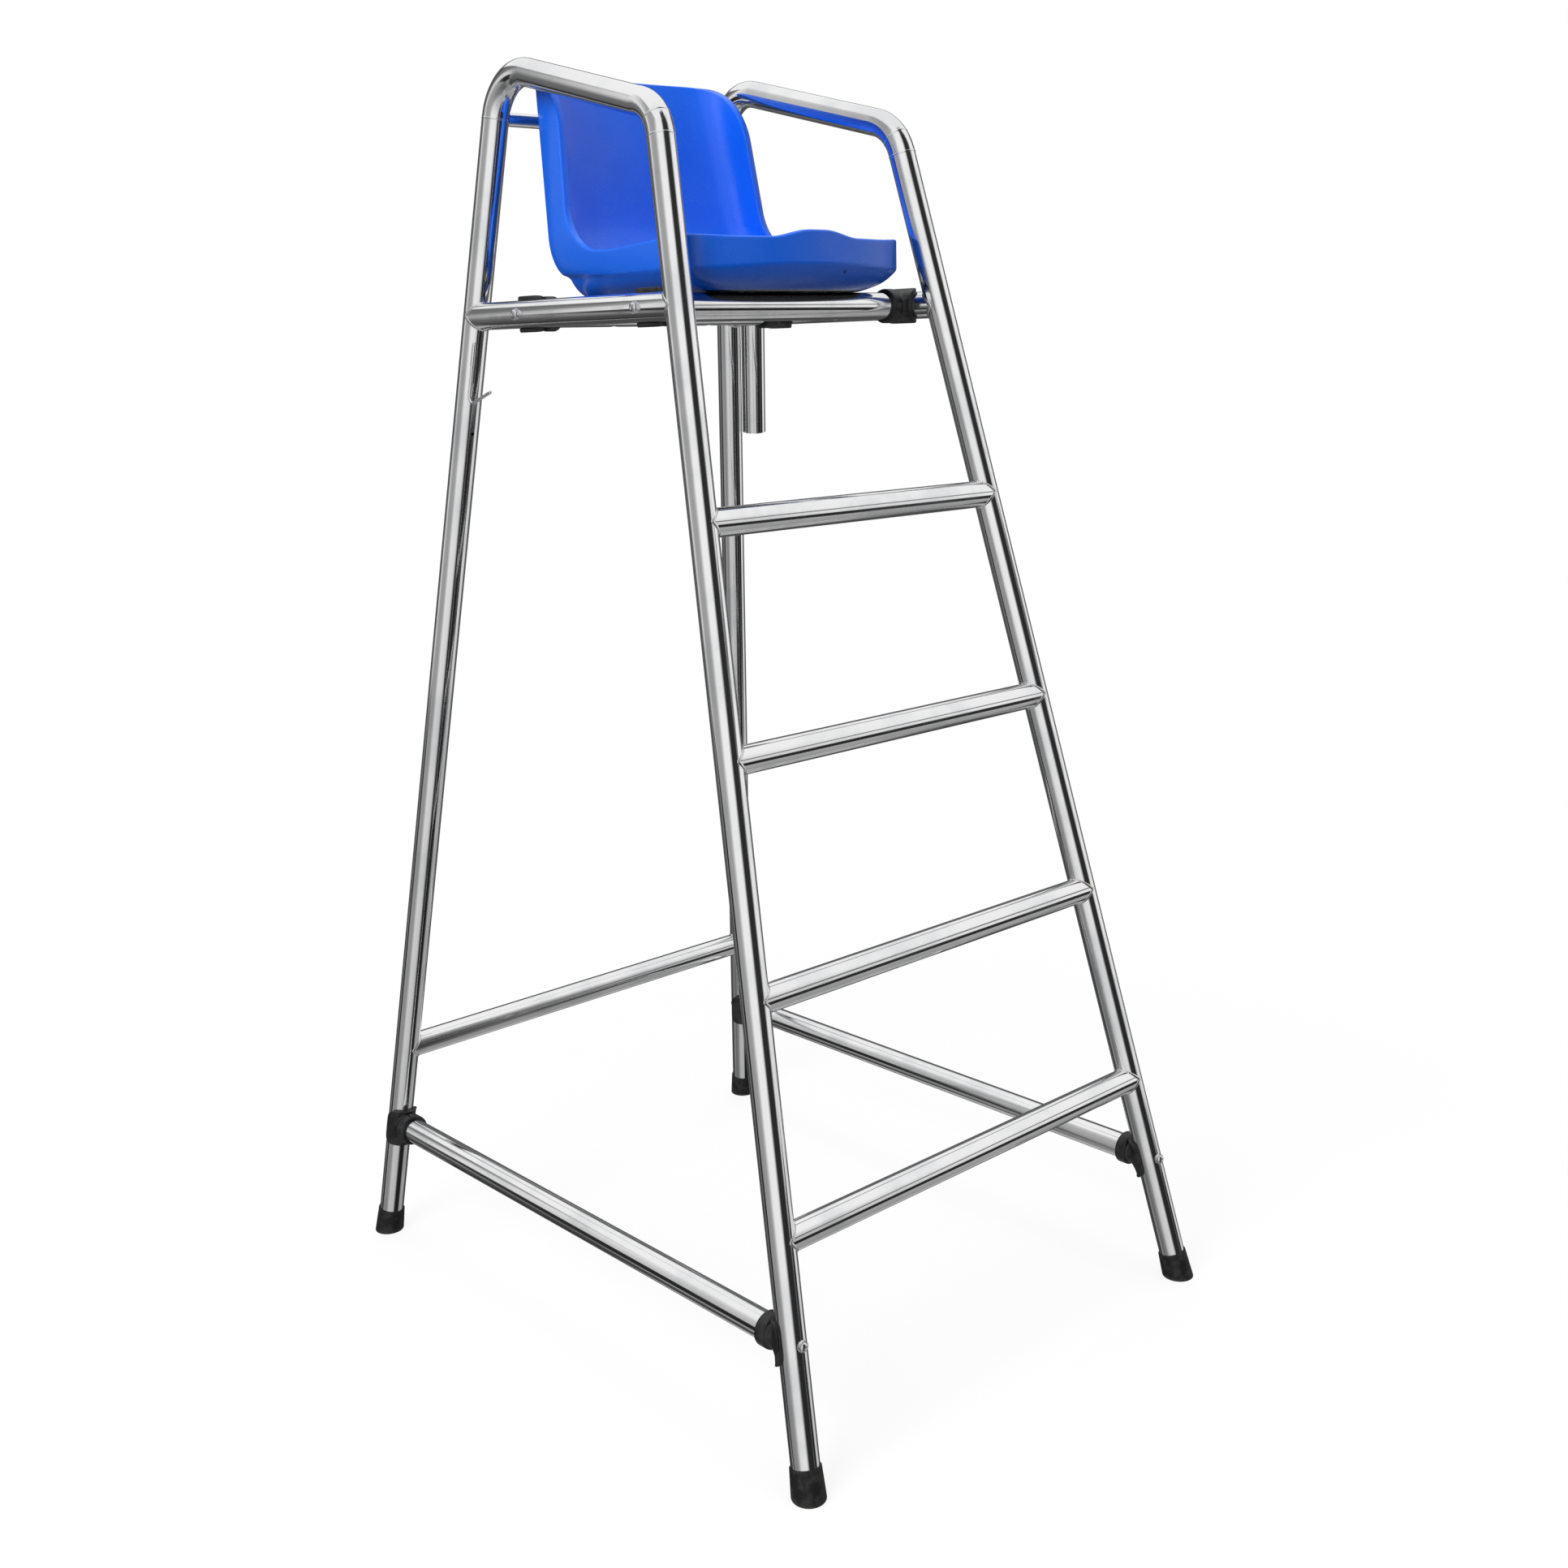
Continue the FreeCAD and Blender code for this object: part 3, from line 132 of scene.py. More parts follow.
def turns(count: int) -> np.ndarray:
    """Angles in even steps round one full turn."""
    return np.linspace(0.0, FULL_TURN, count, endpoint=False)


def around(angle: np.ndarray, first: np.ndarray, second: np.ndarray) -> np.ndarray:
    """The vectors first cos(angle) + second sin(angle), a row for each angle."""
    return np.cos(angle)[:, None] * first + np.sin(angle)[:, None] * second


def cross_axes(axis: np.ndarray) -> tuple[np.ndarray, np.ndarray]:
    """Two unit vectors square to an axis, so that the second is axis x first."""
    hint = np.array([1.0, 0.0, 0.0]) if abs(axis[0]) < 0.7 else np.array([0.0, 1.0, 0.0])
    first = unit(hint - axis * float(hint @ axis))
    return first, np.cross(axis, first)


def ring_about(centre: np.ndarray, axis: np.ndarray, radius: float, columns: int) -> np.ndarray:
    """A circle of points round an axis, turning right-handed about it."""
    return centre + radius * around(turns(columns), *cross_axes(axis))


# Meshes


@dataclass
class Patch:
    """Part of a mesh: its points, its four-sided faces and its three-sided ones."""

    points: np.ndarray
    quads: np.ndarray
    fans: np.ndarray

    def outward(self) -> Patch:
        """The same closed surface with its faces pointing out.

        A closed surface whose faces point out has a positive volume, which is the sum of
        a . (b x c) / 6 over its triangles.
        """
        p = self.points - self.points.mean(axis=0)
        total = 0.0
        for a, b, c in ((0, 1, 2), (0, 2, 3)):
            corners = p[self.quads[:, [a, b, c]]]
            total += float((corners[:, 0] * np.cross(corners[:, 1], corners[:, 2])).sum())
        corners = p[self.fans]
        total += float((corners[:, 0] * np.cross(corners[:, 1], corners[:, 2])).sum())
        if total > 0.0:
            return self
        return Patch(self.points, self.quads[:, ::-1], self.fans[:, ::-1])


NO_FANS = np.zeros((0, 3), dtype=int)


def ring_quads(count: int, columns: int, wrap: bool) -> np.ndarray:
    """Four-sided faces between neighbouring rings, and from the last to the first if wrapped."""
    index = np.arange(count * columns).reshape(count, columns)
    after = np.roll(index, -1, axis=0) if wrap else index[1:]
    index = index if wrap else index[:-1]
    turned = np.roll(index, -1, axis=1)
    return np.stack([index, turned, np.roll(after, -1, axis=1), after], axis=-1).reshape(-1, 4)


def closed_patch(rows: np.ndarray) -> Patch:
    """A closed surface over rings of points, with a fan to the middle of its first and last.

    Args:
        rows: Array of rows, columns and coordinates.

    Returns:
        The patch, with its faces pointing out.
    """
    count, columns = rows.shape[:2]
    points = np.vstack([rows.reshape(-1, 3), rows[0].mean(axis=0), rows[-1].mean(axis=0)])
    first = np.arange(columns)
    last = first + (count - 1) * columns
    hubs = len(points) - 2, len(points) - 1
    fans = np.vstack(
        [
            np.stack([np.roll(first, -1), first, np.full(columns, hubs[0])], axis=-1),
            np.stack([last, np.roll(last, -1), np.full(columns, hubs[1])], axis=-1),
        ]
    )
    return Patch(points, ring_quads(count, columns, False), fans).outward()


def torus_patch(rows: np.ndarray) -> Patch:
    """A surface over rings that also closes from its last ring to its first."""
    count, columns = rows.shape[:2]
    return Patch(rows.reshape(-1, 3), ring_quads(count, columns, True), NO_FANS).outward()


def merged(patches: Sequence[Patch]) -> Patch:
    """Several patches as one."""
    starts = np.cumsum([0] + [len(patch.points) for patch in patches[:-1]])
    return Patch(
        np.vstack([patch.points for patch in patches]),
        np.vstack([patch.quads + start for start, patch in zip(starts, patches)]),
        np.vstack([patch.fans + start for start, patch in zip(starts, patches)]),
    )


def make_piece(
    name: str,
    patch: Patch,
    material: bpy.types.Material,
    replaced: Sequence[str] = (),
) -> bpy.types.Object:
    """Makes a smooth object of a patch, with its normals outward, riding on the chair.

    Args:
        name: The piece's name.
        patch: Its mesh.
        material: Its finish.
        replaced: Names of the frame's nodes that it stands for.

    Returns:
        The object, at the origin.
    """
    mesh = bpy.data.meshes.new(name)
    mesh.from_pydata(patch.points.tolist(), [], patch.quads.tolist() + patch.fans.tolist())
    mesh.polygons.foreach_set("use_smooth", np.ones(len(mesh.polygons), dtype=bool))
    mesh.materials.append(material)
    mesh.update()
    piece = bpy.data.objects.new(name, mesh)
    bpy.context.scene.collection.objects.link(piece)
    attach(piece, BODY)
    if replaced:
        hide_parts(*replaced)
    LOG.info("%s: %d faces", name, len(mesh.polygons))
    return piece


# Finishes


class Sheet:
    """Adds nodes to a node tree and links them, so that a finish reads as a list of steps."""

    step = 220.0

    def __init__(self, tree: bpy.types.NodeTree) -> None:
        """Keeps the tree."""
        self.tree = tree
        self.count = 0

    def feed(self, node: bpy.types.Node, name: int | str, value: object) -> None:
        """Links a socket to a node's input, or sets the input to a plain value."""
        if isinstance(value, bpy.types.NodeSocket):
            self.tree.links.new(value, node.inputs[name])
        else:
            node.inputs[name].default_value = value

    def add(self, kind: str, settings: dict | None = None, **inputs: object) -> bpy.types.Node:
        """Adds a node.

        Args:
            kind: The node's type name.
            settings: The node's own properties.
            inputs: Values or output sockets for its inputs. Underscores stand for spaces, and
                a name such as in0 is the input of that number.

        Returns:
            The node.
        """
        node = self.tree.nodes.new(kind)
        self.count += 1
        node.location = (self.step * self.count, 0.0)
        for name, value in (settings or {}).items():
            setattr(node, name, value)
        for name, value in inputs.items():
            self.feed(node, int(name[2:]) if name[:2] == "in" else name.replace("_", " "), value)
        return node

    def math(self, operation: str, *values: object) -> bpy.types.NodeSocket:
        """The output of a Math node over its values or sockets."""
        inputs = {f"in{i}": value for i, value in enumerate(values)}
        return self.add("ShaderNodeMath", {"operation": operation}, **inputs).outputs[0]

    def ramp(
        self, value: object, low: float, high: float, start: float = 0.0, end: float = 1.0
    ) -> bpy.types.NodeSocket:
        """A smooth change from start to end while a value goes from low to high."""
        settings = {"interpolation_type": "SMOOTHSTEP"}
        ends = {"in1": low, "in2": high, "in3": start, "in4": end}
        return self.add("ShaderNodeMapRange", settings, Value=value, **ends).outputs[0]

    def noise(
        self, vector: object, scale: object, detail: float = 3.0, rough: float = 0.5
    ) -> bpy.types.NodeSocket:
        """The value of a noise texture."""
        node = self.add("ShaderNodeTexNoise", Vector=vector, Scale=scale, Detail=detail, Roughness=rough)
        return node.outputs[0]

    def blend(self, factor: object, first: object, second: object) -> bpy.types.NodeSocket:
        """A colour between two others, each of them red, green and blue or a socket."""
        node = self.add("ShaderNodeMix", {"data_type": "RGBA"}, in0=factor)
        for place, colour in ((6, first), (7, second)):
            self.feed(node, place, (*colour, 1.0) if isinstance(colour, tuple) else colour)
        return node.outputs[2]

    def below(self, place: object, low: float, high: float) -> bpy.types.NodeSocket:
        """1 under one height and 0 over another."""
        height = self.add("ShaderNodeSeparateXYZ", Vector=place).outputs[2]
        return self.ramp(height, low, high, 1.0, 0.0)


def new_group(
    name: str, inputs: dict[str, float], outputs: Sequence[str]
) -> tuple[Sheet, bpy.types.Node, bpy.types.Node]:
    """An empty shader node group that reads its pattern from a vector.

    Args:
        name: The group's name.
        inputs: Its number inputs and their first values.
        outputs: Its number outputs.

    Returns:
        Its sheet, and its input and output nodes.
    """
    tree = bpy.data.node_groups.new(name, "ShaderNodeTree")
    tree.interface.new_socket("Vector", in_out="INPUT", socket_type="NodeSocketVector")
    for label, value in inputs.items():
        socket = tree.interface.new_socket(label, in_out="INPUT", socket_type="NodeSocketFloat")
        socket.default_value = value
    for label in outputs:
        tree.interface.new_socket(label, in_out="OUTPUT", socket_type="NodeSocketFloat")
    return Sheet(tree), tree.nodes.new("NodeGroupInput"), tree.nodes.new("NodeGroupOutput")


def handling_wear() -> bpy.types.NodeTree:
    """Wiped smudges and fine scratches: a mask of each, for any finish.

    Smudges are the high parts of a cloudy noise. Scratches are the thin lines where a
    stretched noise passes its middle value.
    """
    sheet, source, sink = new_group(
        "handling_wear", {"Smudge Scale": 14.0, "Scratch Scale": 60.0}, ("Smudge", "Scratch")
    )
    place = source.outputs["Vector"]
    clouds = sheet.noise(place, source.outputs["Smudge Scale"], 4.0, 0.6)
    sheet.feed(sink, "Smudge", sheet.ramp(clouds, 0.42, 0.66))
    stretched = sheet.add(
        "ShaderNodeVectorMath", {"operation": "MULTIPLY"}, in0=place, in1=(1.0, 0.32, 1.7)
    )
    lines = sheet.noise(stretched.outputs[0], source.outputs["Scratch Scale"], 2.0, 0.7)
    offset = sheet.math("ABSOLUTE", sheet.math("SUBTRACT", lines, 0.5))
    sheet.feed(sink, "Scratch", sheet.ramp(offset, 0.0, 0.012, 1.0, 0.0))
    return sheet.tree


def moulded_grain() -> bpy.types.NodeTree:
    """The fine skin of a moulding or a casting: a height from two sizes of noise."""
    sheet, source, sink = new_group(
        "moulded_grain", {"Grain Scale": 900.0, "Coarse Share": 0.3}, ("Height",)
    )
    place, scale = source.outputs["Vector"], source.outputs["Grain Scale"]
    fine = sheet.noise(place, scale, 2.0)
    coarse = sheet.noise(place, sheet.math("DIVIDE", scale, 9.0))
    height = sheet.math("MULTIPLY_ADD", coarse, source.outputs["Coarse Share"], fine)
    sheet.feed(sink, "Height", height)
    return sheet.tree


@dataclass(frozen=True)
class Groups:
    """The node groups that the finishes share."""

    wear: bpy.types.NodeTree
    grain: bpy.types.NodeTree


@dataclass(frozen=True)
class Masks:
    """What a finish can mix its colours by: the place, the smudges and the skin's height."""

    place: bpy.types.NodeSocket
    smudge: bpy.types.NodeSocket
    skin: bpy.types.NodeSocket


def start_material(name: str) -> tuple[bpy.types.Material, Sheet, bpy.types.Node, bpy.types.NodeSocket]:
    """A new material with its Principled shader and its object coordinates.

    Args:
        name: The material's name.

    Returns:
        The material, its sheet, its shader and the coordinates' socket.
    """
    material = bpy.data.materials.new(name)
    material.use_nodes = True
    sheet = Sheet(material.node_tree)
    shader = material.node_tree.nodes["Principled BSDF"]
    place = sheet.add("ShaderNodeTexCoord").outputs["Object"]
    return material, sheet, shader, place


@dataclass(frozen=True)
class Finish:
    """A material of two colours, worn in places, with a fine skin.

    Its roughness is roughness + smudge_share x smudges + scratch_share x scratches, and depth
    is the height of its skin. A finish that differs has its own colour or skin.
    """

    name: str
    first: Colour
    second: Colour
    roughness: float
    smudge_share: float = 0.0
    scratch_share: float = 0.0
    smudge_scale: float = 14.0
    scratch_scale: float = 60.0
    grain_scale: float = 900.0
    coarse_share: float = 0.3
    depth: float = 0.00005
    metallic: float = 0.0
    specular: float = 0.5

    def colour(self, sheet: Sheet, masks: Masks) -> bpy.types.NodeSocket:
        """The base colour: the second colour in smudges on the first."""
        return sheet.blend(masks.smudge, self.first, self.second)

    def skin(self, sheet: Sheet, groups: Groups, place: bpy.types.NodeSocket) -> bpy.types.NodeSocket:
        """The skin's height: a moulding's grain."""
        scales = {"Grain_Scale": self.grain_scale, "Coarse_Share": self.coarse_share}
        node = sheet.add("ShaderNodeGroup", {"node_tree": groups.grain}, Vector=place, **scales)
        return node.outputs["Height"]

    def build(self, groups: Groups) -> bpy.types.Material:
        """Makes the material."""
        material, sheet, shader, place = start_material(self.name)
        scales = {"Smudge_Scale": self.smudge_scale, "Scratch_Scale": self.scratch_scale}
        wear = sheet.add("ShaderNodeGroup", {"node_tree": groups.wear}, Vector=place, **scales)
        rough: object = self.roughness
        for mask, share in (("Smudge", self.smudge_share), ("Scratch", self.scratch_share)):
            if share > 0.0:
                rough = sheet.math("MULTIPLY_ADD", wear.outputs[mask], share, rough)
        skin = self.skin(sheet, groups, place)
        bump = sheet.add("ShaderNodeBump", Height=skin, Distance=self.depth, Strength=1.0)
        colour = self.colour(sheet, Masks(place, wear.outputs["Smudge"], skin))
        sheet.feed(shader, "Base Color", colour)
        sheet.feed(shader, "Roughness", rough)
        sheet.feed(shader, "Normal", bump.outputs[0])
        sheet.feed(shader, "Metallic", self.metallic)
        sheet.feed(shader, "Specular IOR Level", self.specular)
        return material


@dataclass(frozen=True)
class PolishedTube(Finish):
    """Mirror-polished stainless tube with faint lines round it from the polishing belt."""

    first: Colour = (0.86, 0.86, 0.865)
    second: Colour = (0.76, 0.765, 0.775)
    roughness: float = 0.075
    smudge_share: float = 0.07
    scratch_share: float = 0.06
    smudge_scale: float = 9.0
    scratch_scale: float = 150.0
    depth: float = 0.0000014
    metallic: float = 1.0
    run: Run = Run.UPRIGHT

    def skin(self, sheet: Sheet, groups: Groups, place: bpy.types.NodeSocket) -> bpy.types.NodeSocket:
        """The skin's height: a noise drawn out along the belt's lines."""
        drawn_out = sheet.add("ShaderNodeMapping", Vector=place, Scale=self.run.value)
        return sheet.noise(drawn_out.outputs[0], 1.0, 2.0, 0.6)


@dataclass(frozen=True)
class WeldMetal(Finish):
    """Brushed-down weld bead, a little duller than the tube and warm where it was hottest."""

    name: str = "weld_metal"
    first: Colour = (0.8, 0.8, 0.8)
    second: Colour = (0.62, 0.57, 0.5)
    roughness: float = 0.2
    smudge_share: float = 0.14
    smudge_scale: float = 60.0
    grain_scale: float = 1500.0
    coarse_share: float = 0.8
    depth: float = 0.00004
    metallic: float = 1.0
    heat_scale: float = 70.0

    def colour(self, sheet: Sheet, masks: Masks) -> bpy.types.NodeSocket:
        """The base colour, with the heated colour in patches."""
        patches = sheet.ramp(sheet.noise(masks.place, self.heat_scale), 0.5, 0.75)
        return sheet.blend(patches, self.first, self.second)


@dataclass(frozen=True)
class FastenerSteel(Finish):
    """Bright pressed steel of bolts, washers, plugs and backing rings."""

    name: str = "fastener_steel"
    first: Colour = (0.74, 0.74, 0.75)
    second: Colour = (0.55, 0.55, 0.56)
    roughness: float = 0.17
    smudge_share: float = 0.1
    scratch_share: float = 0.12
    smudge_scale: float = 180.0
    scratch_scale: float = 500.0
    grain_scale: float = 3000.0
    depth: float = 0.00001
    metallic: float = 1.0


@dataclass(frozen=True)
class ConnectorPlastic(Finish):
    """Satin black nylon with a spark-eroded skin, rubbed a little grey."""

    name: str = "connector_plastic"
    first: Colour = (0.009, 0.009, 0.010)
    second: Colour = (0.028, 0.028, 0.030)
    roughness: float = 0.36
    smudge_share: float = 0.16
    scratch_share: float = 0.15
    smudge_scale: float = 45.0
    scratch_scale: float = 220.0
    grain_scale: float = 2200.0
    coarse_share: float = 0.4
    specular: float = 0.45


@dataclass(frozen=True)
class FootRubber(Finish):
    """Black moulded rubber, dusty grey where it meets the deck."""

    name: str = "foot_rubber"
    first: Colour = (0.010, 0.010, 0.0105)
    second: Colour = (0.035, 0.034, 0.033)
    roughness: float = 0.6
    smudge_share: float = 0.18
    smudge_scale: float = 70.0
    grain_scale: float = 1600.0
    coarse_share: float = 0.7
    depth: float = 0.00009
    specular: float = 0.3
    dusty: Colour = (0.075, 0.072, 0.068)
    dust_height: float = 0.007
    dust_scale: float = 260.0

    def colour(self, sheet: Sheet, masks: Masks) -> bpy.types.NodeSocket:
        """The base colour, with dust near the floor."""
        body = sheet.blend(masks.smudge, self.first, self.second)
        low = sheet.below(masks.place, 0.0, self.dust_height)
        dust = sheet.math("MULTIPLY", low, sheet.noise(masks.place, self.dust_scale, 4.0, 0.65))
        return sheet.blend(dust, body, self.dusty)


@dataclass(frozen=True)
class SeatPlastic(Finish):
    """Semi-gloss blue moulding with flow clouds, a few scuffs, and painted shade that turns its flat
    underside near black.
    """

    name: str = "seat_plastic"
    first: Colour = (0.004, 0.122, 0.770)
    second: Colour = (0.006, 0.140, 0.820)
    roughness: float = 0.24
    smudge_share: float = 0.08
    scratch_share: float = 0.05
    smudge_scale: float = 16.0
    scratch_scale: float = 90.0
    grain_scale: float = 1100.0
    coarse_share: float = 0.5
    depth: float = 0.000035
    cloud_scale: float = 7.0
    # Painted shade: the flat underside gets this near-black colour in place of the shade under the seat.
    underside: Colour = (0.001, 0.004, 0.014)
    painted_shade_height: float = 1.5565
    painted_shade_fade: float = 0.0012

    def colour(self, sheet: Sheet, masks: Masks) -> bpy.types.NodeSocket:
        """The base colour: clouds of two blues, with painted shade that turns the flat underside near
        black.
        """
        body = sheet.blend(sheet.noise(masks.place, self.cloud_scale), self.first, self.second)
        top = self.painted_shade_height + self.painted_shade_fade
        return sheet.blend(sheet.below(masks.place, self.painted_shade_height, top), body, self.underside)


@dataclass(frozen=True)
class VentShadow(Finish):
    """The unlit inside of the seat's moulding vent, with the seat's blue just showing."""

    name: str = "vent_shadow"
    first: Colour = (0.002, 0.006, 0.030)
    second: Colour = (0.004, 0.016, 0.080)
    roughness: float = 0.7
    grain_scale: float = 1800.0

    def colour(self, sheet: Sheet, masks: Masks) -> bpy.types.NodeSocket:
        """The base colour: lighter on the grain's heights."""
        return sheet.blend(masks.skin, self.first, self.second)


# The steel frame's lines


@dataclass(frozen=True)
class FrameLines:
    """Where the tubes of the chair's frame run."""

    tube_radius: float = 0.020
    tube_wall: float = 0.0015
    base_half_width: float = 0.412
    base_half_depth: float = 0.533
    side_lean: float = 5.9
    front_rake: float = 13.4
    rear_rake: float = 8.0
    arm_rear_height: float = 1.890
    arm_front_height: float = 1.793
    arm_bend_radius: float = 0.065
    arm_straight_end: float = 0.002
    first_rung: float = 0.329
    rung_pitch: float = 0.308
    rung_count: int = 4
    stretcher_height: float = 0.202
    rear_stretcher: float = 0.342
    rail_height: float = 1.535
    back_bar_drop: float = 0.073
    back_bar_radius: float = 0.010
    cross_front_inset: float = 0.0703
    cross_spacing: float = 0.280

    def leg_point(self, side: Side, end: End, height: float) -> np.ndarray:
        """The point of a leg's axis at a height."""
        x = side.value * (self.base_half_width - math.tan(math.radians(self.side_lean)) * height)
        if end is End.FRONT:
            y = -self.base_half_depth + math.tan(math.radians(self.front_rake)) * height
        else:
            y = self.base_half_depth - math.tan(math.radians(self.rear_rake)) * height
        return np.array([x, y, height])

    def leg_direction(self, side: Side, end: End) -> np.ndarray:
        """The unit vector up a leg's axis."""
        return unit(self.leg_point(side, end, 1.0) - self.leg_point(side, end, 0.0))

    def cross_tube_y(self, end: End) -> float:
        """How far along Y one of the two tubes under the seat is."""
        front = self.leg_point(Side.RIGHT, End.FRONT, self.rail_height)[1] + self.cross_front_inset
        return front if end is End.FRONT else front + self.cross_spacing

    def rail_point(self, side: Side, y: float) -> np.ndarray:
        """The point of a seat rail's axis at a distance along Y."""
        point = self.leg_point(side, End.REAR, self.rail_height)
        return np.array([point[0], y, point[2]])

    def arm_height(self, end: End) -> float:
        """Where an armrest's axis meets a leg's."""
        return self.arm_front_height if end is End.FRONT else self.arm_rear_height

    def arm_bend(self, side: Side, end: End) -> tuple[np.ndarray, np.ndarray, np.ndarray, float]:
        """One bend of an armrest.

        Args:
            side: Which armrest.
            end: Which of its bends.

        Returns:
            The corner, the unit vectors down the leg and along the arm, and the distance from
            the corner to each end of the arc.
        """
        other = End.REAR if end is End.FRONT else End.FRONT
        corner = self.leg_point(side, end, self.arm_height(end))
        along = unit(self.leg_point(side, other, self.arm_height(other)) - corner)
        down = -self.leg_direction(side, end)
        half = math.acos(float(down @ along)) / 2.0
        return corner, down, along, self.arm_bend_radius / math.tan(half)

    def rungs(self) -> list[tuple[str, float]]:
        """The name and height of each rung."""
        return [
            (f"rung_{i + 1}", self.first_rung + i * self.rung_pitch) for i in range(self.rung_count)
        ]


# Welds


@dataclass(frozen=True)
class Welds:
    """The beads round the coped tube ends and the hook's rod."""

    lines: FrameLines
    material: bpy.types.Material
    half_width: float = 0.0026
    height: float = 0.0013
    ripple: float = 0.10
    ripple_pitch: float = 0.0026
    ripple_lag: float = 1.3
    least_ripples: int = 8
    columns: int = 420
    ring_steps: int = 12

    def cope_curve(
        self, start: np.ndarray, away: np.ndarray, host: np.ndarray, radius: float
    ) -> tuple[np.ndarray, np.ndarray]:
        """Where a tube's skin meets the crossing tube's skin.

        A line on the tube's skin is start + q + s away, q being its radius vector. It meets the
        host where the part of q + s away that is square to the host is one host radius long,
        which is a quadratic in s whose larger root is the near side.

        Args:
            start: Where the two axes meet.
            away: Unit vector along the tube, away from the host.
            host: Unit vector along the host.
            radius: The tube's outside radius.

        Returns:
            The points of the curve, and the unit vectors between the two skins' normals.
        """
        spoke = around(turns(self.columns), *cross_axes(away))
        q = radius * spoke
        q_flat = q - (q @ host)[:, None] * host
        away_flat = away - float(away @ host) * host
        a = float(away_flat @ away_flat)
        b = 2.0 * q_flat @ away_flat
        c = (q_flat * q_flat).sum(axis=1) - self.lines.tube_radius**2
        s = (-b + np.sqrt(np.maximum(b * b - 4.0 * a * c, 0.0))) / (2.0 * a)
        points = start + q + s[:, None] * away
        from_host = points - start
        host_normal = unit(from_host - (from_host @ host)[:, None] * host)
        return points, unit(host_normal + spoke)

    def bead(self, path: np.ndarray, outward: np.ndarray, half_width: float, height: float) -> Patch:
        """A closed bead along a path: an ellipse that swells and sinks with each ripple.

        Args:
            path: Points of a closed curve.
            outward: Unit vectors that the bead stands along.
            half_width: Half its width, square to outward and to the path.
            height: Its height over the path.

        Returns:
            The bead's patch.
        """
        tangent = unit(np.roll(path, -1, axis=0) - np.roll(path, 1, axis=0))
        across = unit(np.cross(tangent, outward))
        length = np.linalg.norm(np.roll(path, -1, axis=0) - path, axis=1)
        ripples = max(self.least_ripples, round(float(length.sum()) / self.ripple_pitch))
        phase = FULL_TURN * ripples * np.cumsum(length) / length.sum()
        turn = turns(self.ring_steps)
        lag = self.ripple_lag * np.abs(np.cos(turn))[None, :]
        swell = 1.0 + self.ripple * np.cos(phase[:, None] - lag)
        rows = (
            path[:, None, :]
            + across[:, None, :] * (half_width * np.cos(turn))[None, :, None]
            + outward[:, None, :] * (height * np.sin(turn)[None, :] * swell)[:, :, None]
        )
        return torus_patch(rows)

    def cope(self, start: np.ndarray, away: np.ndarray, host: np.ndarray, radius: float) -> Patch:
        """The bead round one coped tube end."""
        path, outward = self.cope_curve(start, away, host, radius)
        scale = math.sqrt(radius / self.lines.tube_radius)
        return self.bead(path, outward, self.half_width * scale, self.height * scale)

    def between_legs(self, end: End, height: float, radius: float) -> list[Patch]:
        """The beads at both ends of a tube that crosses from leg to leg."""
        patches = []
        for side in Side:
            inward = np.array([-float(side.value), 0.0, 0.0])
            host = self.lines.leg_direction(side, end)
            patches.append(self.cope(self.lines.leg_point(side, end, height), inward, host, radius))
        return patches

    def build(self) -> None:
        """Makes one piece of beads for each kind of joint."""
        lines = self.lines
        rungs = []
        for _, height in lines.rungs():
            rungs += self.between_legs(End.FRONT, height, lines.tube_radius)
        make_piece("welds_rungs", merged(rungs), self.material)
        rear = self.between_legs(End.REAR, lines.rear_stretcher, lines.tube_radius)
        bar_height = lines.arm_rear_height - lines.back_bar_drop
        rear += self.between_legs(End.REAR, bar_height, lines.back_bar_radius)
        make_piece("welds_rear", merged(rear), self.material)
        rails = []
        for side in Side:
            for end, toward in ((End.FRONT, 1.0), (End.REAR, -1.0)):
                start = lines.leg_point(side, end, lines.rail_height)
                host = lines.leg_direction(side, end)
                rails.append(self.cope(start, np.array([0.0, toward, 0.0]), host, lines.tube_radius))
        make_piece("welds_seat_rails", merged(rails), self.material)


@dataclass(frozen=True)
class ArmSeams:
    """The low polished seams round the armrests, at each joint and at the sleeve's other end."""

    lines: FrameLines
    material: bpy.types.Material
    half_width: float = 0.0013
    height: float = 0.00045
    sleeve: float = 0.025
    columns: int = 96
    ring_steps: int = 8

    def seam(self, centre: np.ndarray, axis: np.ndarray) -> Patch:
        """A low ring round the tube: half an ellipse carried round its skin."""
        ring = ring_about(centre, axis, self.lines.tube_radius, self.columns)
        outward = unit(ring - centre)
        turn = turns(self.ring_steps)
        rows = (
            ring[:, None, :]
            + axis * (self.half_width * np.cos(turn))[None, :, None]
            + outward[:, None, :] * (self.height * np.sin(turn))[None, :, None]
        )
        return torus_patch(rows)

    def along_bend(self, side: Side, end: End, distance: float) -> tuple[np.ndarray, np.ndarray]:
        """A point of the bend's arc and its direction, a distance past its lower end."""
        corner, down, along, tangent = self.lines.arm_bend(side, end)
        radius = self.lines.arm_bend_radius
        start = corner + down * tangent
        inward = unit(along - down * float(down @ along))
        angle = distance / radius
        point = start + radius * ((1.0 - math.cos(angle)) * inward - math.sin(angle) * down)
        return point, unit(-down * math.cos(angle) + inward * math.sin(angle))

    def build(self) -> None:
        """Makes the seams of both armrests."""
        patches = []
        for side in Side:
            for end in End:
                corner, down, _, tangent = self.lines.arm_bend(side, end)
                joint = corner + down * (tangent + self.lines.arm_straight_end)
                patches.append(self.seam(joint, -down))
                if end is End.FRONT:
                    patches.append(self.seam(*self.along_bend(side, end, self.sleeve)))
        make_piece("armrest_seams", merged(patches), self.material)


# Saddle connectors


